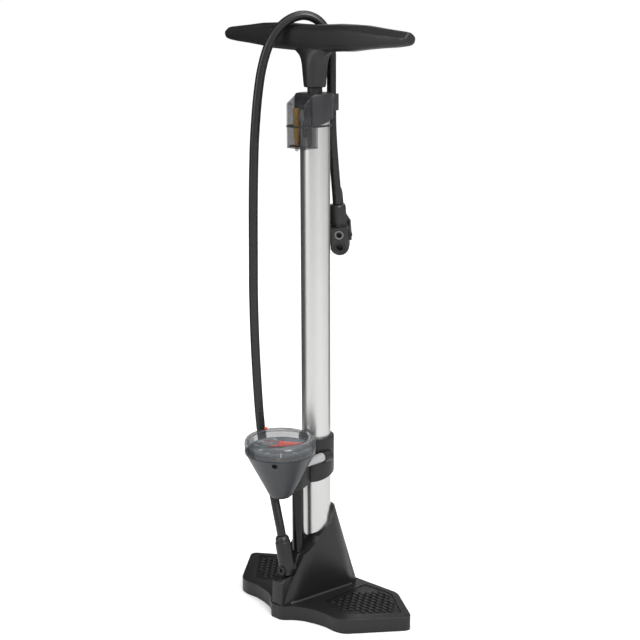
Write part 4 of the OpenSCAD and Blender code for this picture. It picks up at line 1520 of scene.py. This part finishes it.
    def scale(self) -> None:
        """Prints the scale on the dial."""
        z = self.seam + self.dial_z + 0.01
        white = [
            self.tick(k / 40, 29.0, 31.5 if k % 5 else 32.4, 0.35 if k % 5 else 0.7, z)
            for k in range(41)
        ]
        white += [self.tick(k / 22, 18.5, 20.2, 0.35, z) for k in range(23)]
        white += [self.numeral(20 * k, k / 8, 25.6, 4.2, z) for k in range(9)]
        white += [self.numeral(2 * k, 2 * k / 11, 15.6, 3.2, z) for k in range(6)]
        white.append(self.arc("arc", 0.0, 1.0, 28.6, 28.95, z))
        dress(merged("dial_scale_white", white), DIAL_WHITE, Body.STAND)
        green = [
            self.arc("arc", 0.08, 0.3, 20.6, 22.6, z), self.arc("arc", 0.45, 0.78, 20.6, 22.6, z)
        ]
        dress(merged("dial_scale_green", green), DIAL_GREEN, Body.STAND)
        red = [self.arc("arc", 0.84, 1.0, 20.6, 22.6, z), self.arc("arc", 0.34, 0.4, 20.6, 22.6, z)]
        dress(merged("dial_scale_red", red), DIAL_RED, Body.STAND)

    def pointer(self) -> bpy.types.Object:
        """Makes the pointer: a hub, a fin that tapers to the scale and a flat tail.

        Returns:
            The pointer, at the scale's start.
        """
        foot = self.seam + 6.2
        heading = math.radians(self.zero)
        hub = lathe(
            "hub", [(0, 0), (3.4, 0), (3.2, 1.6), (1.9, 5.0), (1.2, 5.4), (0, 5.5)], (0, 0, 0), 40
        )
        fin = loft(
            "fin",
            [
                [(r, -w, 0), (r, w, 0), (r, 0.35 * w, h), (r, -0.35 * w, h)]
                for r, w, h in ((1, 2.0, 5.0), (9, 1.5, 3.7), (20, 0.9, 2.0), (29, 0.35, 0.8))
            ],
        )
        tail = loft(
            "tail",
            [
                [(r, -w, 0), (r, w, 0), (r, w, 0.9), (r, -w, 0.9)]
                for r, w in ((-2, 1.3), (-9, 1.9), (-13, 1.6))
            ]
        )
        made = merged("gauge_pointer", [eased(hub, 0), eased(fin, 0.2, 2), eased(tail, 0.2, 2)])
        made.data.transform(
            Matrix.Translation(Vector((0, self.y, foot)) * MM) @ Matrix.Rotation(heading, 4, "Z")
        )
        return made

    def clamp(self) -> bpy.types.Object:
        """Makes the band clamp with its pipe boss and its two post lugs.

        Returns:
            The clamp.
        """
        slant = math.radians(17)
        under = (0, math.sin(slant), -math.cos(slant))
        band = prism("band", circle(self.band_r, 96), *self.band_span)
        slice_off(band, (0, 0, self.band_low), under)
        eased(band, 0.9, 3, 24)
        boss_plan = hull_outline(circle(9, 40, (0, -29.5)) + [(-9, -15), (9, -15)])
        boss = prism("boss", boss_plan, 140, 186)
        slice_off(boss, (0, 0, self.band_low), under)
        cone = lathe(
            "cutter",
            [
                (0, -0.4), (10.4, 1.6), (15.4, 8), (16.3, 10.2), (self.radius - 0.5, self.cone),
                (self.radius - 0.5, 70), (0, 70)
            ],
            (0, self.y, self.seam - self.cone),
            96,
        )
        carved(boss, cone)
        eased(boss, 0.5, 2, 30)
        parts = [band, boss]
        for side in Side:
            lug = lathe(
                "lug", [(0, 0), (6.0, 0), (6.6, 0.6), (6.6, 11.4), (6.0, 12), (0, 12)], (0, 0, 0),
                48
            )
            lug.data.transform(
                Matrix.Translation(Vector((side.value * self.post[0], -11, self.post[1])) * MM)
                @ Matrix.Rotation(math.radians(-90), 4, "X")
            )
            web = side_prism(
                "web", [(-11, 174.4), (-11, 187.6), (1, 187.6), (1, 174.4)], 3.4, side.value * 16.6
            )
            parts += [eased(lug, 0), eased(web, 0.4, 2)]
        return merged("gauge_band_clamp", parts)

    def build(self) -> None:
        """Builds and dresses the gauge."""
        dress(self.housing(), CONE_PC, Body.STAND, ["gauge_housing"])
        lens = dress(self.lens(), BEZEL_ACRYLIC, Body.BEZEL, ["gauge_lens"])
        lens.data.materials.append(WINDOW_ACRYLIC.material())
        for face in lens.data.polygons:
            reach = math.hypot(face.center.x, face.center.y - self.y * MM) / MM
            if reach < self.radius - 10 and abs(face.normal.z) > 0.9:
                face.material_index = 1
        dress(self.pointer(), SIGNAL_RED, Body.NEEDLE, ["gauge_needle"])
        rim = self.radius
        seam = lathe(
            "gauge_seam",
            [(rim - 1.4, -0.4), (rim - 0.15, -0.4), (rim - 0.15, 0.28), (rim - 1.4, 0.28)],
            (0, self.y, self.seam),
            128,
            True,
        )
        dress(eased(seam, 0), SEAL_RUBBER, Body.STAND)
        dress(self.clamp(), BASE_NYLON, Body.STAND, ["gauge_clamp"])
        self.scale()
        index = math.radians(self.index_at)
        r = self.radius + 0.05
        notch = outline_mesh(
            "bezel_index",
            [
                (r * math.cos(index + a), self.y + r * math.sin(index + a), self.seam + z)
                for a, z in ((-0.012, 5.6), (0.012, 5.6), (0.012, 9.6), (0, 10.8), (-0.012, 9.6))
            ],
            [[0, 1, 2, 3, 4]],
        )
        thick = notch.modifiers.new("wall", "SOLIDIFY")
        thick.thickness, thick.offset = 0.25 * MM, 0
        dress(baked(notch), INDEX_GREY, Body.BEZEL)
        for node, finish in (
            ("gauge_seal", SEAL_RUBBER), ("bourdon_tube", TURNED_BRASS), ("gauge_dial", DIAL_INK),
            ("gauge_marker", SIGNAL_RED), ("gauge_posts", POST_ABS),
            ("gauge_pipe", BLACK_PIPE), ("pipe_ferrule", ZINC_STEEL), ("pipe_nut", TURNED_BRASS),
            ("clamp_screws", ZINC_STEEL),
        ):
            finish_node(node, finish)


# ----------------------------------------------------------------- pump head


@dataclass
class PumpHead:
    """Twin-bore head with its hose sleeve and its thumb lever.

    Attributes:
        top: Where the hose enters.
        turn: Its heading, in degrees.
        lean: How far it leans back, in degrees.
        sleeve_len: Length of the hose sleeve.
        half: Half width of the block.
        high: Height of the block.
        pivot: Distance and height of the lever's pin.
        bores: Radius, sideways place, height and depth of the narrow and the wide bore.
    """

    top: Point = (0.0, 34.1, 456.0)
    turn: float = 40.0
    lean: float = 5.8
    sleeve_len: float = 24.5
    half: float = 10.0
    high: float = 31.0
    pivot: Point = (5.0, 19.0)
    bores: Sequence[Point] = ((5.0, 0.3, 22.9, 9), (6.0, 0, 8.6, 11))

    def seat(self, made: bpy.types.Object) -> bpy.types.Object:
        """Moves a piece from the head's own frame to its place."""
        made.data.transform(
            Matrix.Translation(Vector(self.top) * MM)
            @ Matrix.Rotation(math.radians(self.lean), 4, "X")
            @ Matrix.Translation(Vector((0, 0, -self.sleeve_len - self.high)) * MM)
            @ Matrix.Rotation(math.radians(self.turn), 4, "Z")
        )
        return made

    def block(self) -> bpy.types.Object:
        """Makes the head's body with its round underside and its two bores.

        Returns:
            The block, in the head's own frame.
        """
        half, bow = self.half, self.half + 0.5
        rim = math.asin(half / bow)
        face = [(-half, self.high), (half, self.high)]
        face += [
            (bow * math.sin(a), bow - bow * math.cos(a))
            for a in (rim - rim * k / 10 for k in range(21))
        ]
        rings = [[(x, y, z) for x, z in face] for y in (-11, 10)]
        made = loft("head_shell", rings)
        cutters = []
        for radius, x, z, depth in self.bores:
            bore = lathe(
                "cutter", [(0, 0), (radius, 0), (radius, depth + 2), (0, depth + 2)], (0, 0, 0), 48
            )
            bore.data.transform(
                Matrix.Translation(Vector((x, -13, z)) * MM)
                @ Matrix.Rotation(math.radians(-90), 4, "X")
            )
            cutters.append(bore)
        return eased(carved(made, *cutters), 0.7, 3, 35)

    def sleeve(self) -> bpy.types.Object:
        """Makes the hose sleeve with its groove and its soft lip."""
        profile = [
            (0, 0), (8.2, 0), (8.2, 2.4), (9.0, 3.2), (9.0, 20.4), (8.8, 22.4), (8.0, 24.0),
            (6.4, 24.4), (5.2, 24.4), (0, 24.4),
        ]
        return eased(lathe("head_hose_sleeve", profile, (0, 0, self.high), 64), 0)

    def lever(self) -> bpy.types.Object:
        """Makes the fork and the ribbed thumb tongue.

        Returns:
            The lever, in the head's own frame.
        """
        parts = []
        deep, rise = self.pivot
        out = self.half + 0.3
        for side in Side:
            thick = 5.0 if side is Side.LEFT else 2.2
            hub = lathe(
                "hub",
                [(0, 0), (6.0, 0), (6.4, 0.4), (6.4, thick - 0.5), (5.9, thick), (0, thick)],
                (0, 0, 0),
                40,
            )
            spin = Matrix.Rotation(math.radians(90 * side.value), 4, "Y")
            hub.data.transform(
                Matrix.Translation(Vector((side.value * out, deep, rise)) * MM) @ spin
            )
            arm_profile = [
                (deep, rise - 4), (14, rise - 2), (14, rise + 12), (11, rise + 16), (deep, rise + 6)
            ]
            arm = side_prism("arm", arm_profile, 1.1, side.value * (out + 1.1))
            parts += [eased(hub, 0), eased(arm, 0.5, 2)]
        tongue = []
        for z, width, y, thick in (
            (6.5, 12.5, 11.0, 3.0), (14, 12.5, 11.0, 3.2), (19.5, 9.5, 11.0, 3.2),
            (25, 6.6, 11.1, 3.0), (34, 5.8, 11.2, 2.8), (46, 5.6, 11.3, 2.6), (51, 4.8, 11.4, 2.2),
            (54, 3.0, 11.6, 1.6), (55.4, 1.0, 11.8, 1.0),
        ):
            plan = rounded(
                [(-width, y), (width, y), (width, y + thick), (-width, y + thick)], 1.0, 3
            )
            tongue.append([(x, yy, rise + z) for x, yy in plan])
        parts.append(eased(loft("tongue", tongue), 0))
        for k in range(4):
            foot = rise + 36.5 + 3.2 * k
            rib = side_prism(
                "rib", [(13.2, foot), (14.5, foot + 0.6), (14.5, foot + 1.4), (13.2, foot + 2)], 4.0
            )
            parts.append(eased(rib, 0.25, 2))
        return merged("head_thumb_lever", parts)

    def build(self) -> list[bpy.types.Object]:
        """Builds and dresses the head.

        Returns:
            The head's pieces, with the CAD nodes on it.
        """
        made = [
            dress(self.seat(self.block()), HEAD_NYLON, Body.STAND, ["head_body"]),
            dress(self.seat(self.sleeve()), HEAD_NYLON, Body.STAND, ["head_sleeve"]),
            dress(self.seat(self.lever()), HEAD_NYLON, Body.LEVER, ["head_lever"]),
        ]
        for node, finish in (
            ("wide_grommet", SEAL_RUBBER), ("narrow_grommet", SEAL_RUBBER),
            ("face_ring", DULL_ZINC), ("lever_pin", BLACK_PIPE),
        ):
            finish_node(node, finish)
            made.append(NODES[node])
        return made


# -------------------------------------------------------------------- handle


@dataclass
class Handle:
    """Cross handle with its flared stem, one moulding.

    Attributes:
        stations: Distance from the middle, top, bottom and half depth.
        stem: Height, half width along x and half depth of the stem.
        voxel: Grid of the blended skin.
        corner: How square the grip's section is; 1 for an oval, less for squarer.
        facet: A point on each flat facet at the grip's ends.
    """

    stations: Sequence[Point] = (
        (0, 648.6, 621.0, 13.0), (22, 649.2, 621.0, 13.0), (40, 650.0, 621.8, 13.0),
        (58, 649.7, 622.4, 12.8), (77, 649.0, 624.8, 12.2), (97, 646.8, 626.8, 11.2),
        (116, 645.0, 628.2, 9.6), (127, 644.0, 629.6, 9.0), (131.4, 643.2, 630.6, 8.2),
        (133, 642.0, 632.0, 7.0),
    )
    stem: Sequence[Point] = (
        (583.9, 11.3, 11.3), (585.2, 11.9, 11.9), (600, 13.3, 13.0), (608, 14.5, 13.2),
        (613, 16.4, 13.0), (617, 19.6, 12.6), (620.5, 25.0, 12.0), (624, 32.0, 11.0),
        (630, 36.0, 9.0),
    )
    voxel: float = 1.0
    facet: Point = (108.0, 6.8, 642.4)
    corner: float = 0.72

    def ring(self, x: float, high: float, low: float, depth: float) -> list[Point]:
        """Works out one squarish oval section of the grip.

        Args:
            x: Distance from the middle.
            high: Height of its top.
            low: Height of its underside.
            depth: Half its depth.

        Returns:
            Its points.
        """
        middle, half = (high + low) / 2, (high - low) / 2
        made = []
        for k in range(40):
            a = math.tau * k / 40
            c, s = math.cos(a), math.sin(a)
            made.append(
                (
                    x,
                    depth * math.copysign(abs(c) ** self.corner, c),
                    middle + half * math.copysign(abs(s) ** self.corner, s),
                )
            )
        return made

    def build(self) -> None:
        """Builds and dresses the handle."""
        right = list(self.stations)
        whole = [(-x, *rest) for x, *rest in reversed(right[1:])] + right
        grip = loft("grip", [self.ring(*s) for s in whole])
        for side in Side:
            for face in Side:
                slice_off(
                    grip,
                    (side.value * self.facet[0], face.value * self.facet[1], self.facet[2]),
                    (side.value * 0.1, face.value * 0.62, 0.78),
                )
        stem = loft(
            "stem",
            [
                [
                    (rx * math.cos(math.tau * k / 64), ry * math.sin(math.tau * k / 64), z)
                    for k in range(64)
                ]
                for z, rx, ry in self.stem
            ],
        )
        made = merged("cross_handle", [grip, stem])
        skin = made.modifiers.new("skin", "REMESH")
        skin.mode, skin.voxel_size, skin.adaptivity = "VOXEL", self.voxel * MM, 0.0
        soft = made.modifiers.new("soft", "SMOOTH")
        soft.factor, soft.iterations = 0.5, 2
        baked(made)
        made.data.shade_smooth()
        dress(made, GRIP_ABS, Body.PLUNGER, ["handle"])


# ---------------------------------------------------------------------- main


def main() -> None:
    """Builds the studio and each sub-assembly in order."""
    logging.basicConfig(level=logging.INFO, format="%(name)s: %(message)s")
    NODES.update(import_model()["nodes"])
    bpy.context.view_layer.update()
    studio = Studio()
    studio.camera()
    Hose().build(PumpHead().build())
    studio.build()
    for part in (Base(), Elbow(), Barrel(), Cap(), Gauge(), Handle()):
        part.build()


if __name__ == "__main__":
    main()
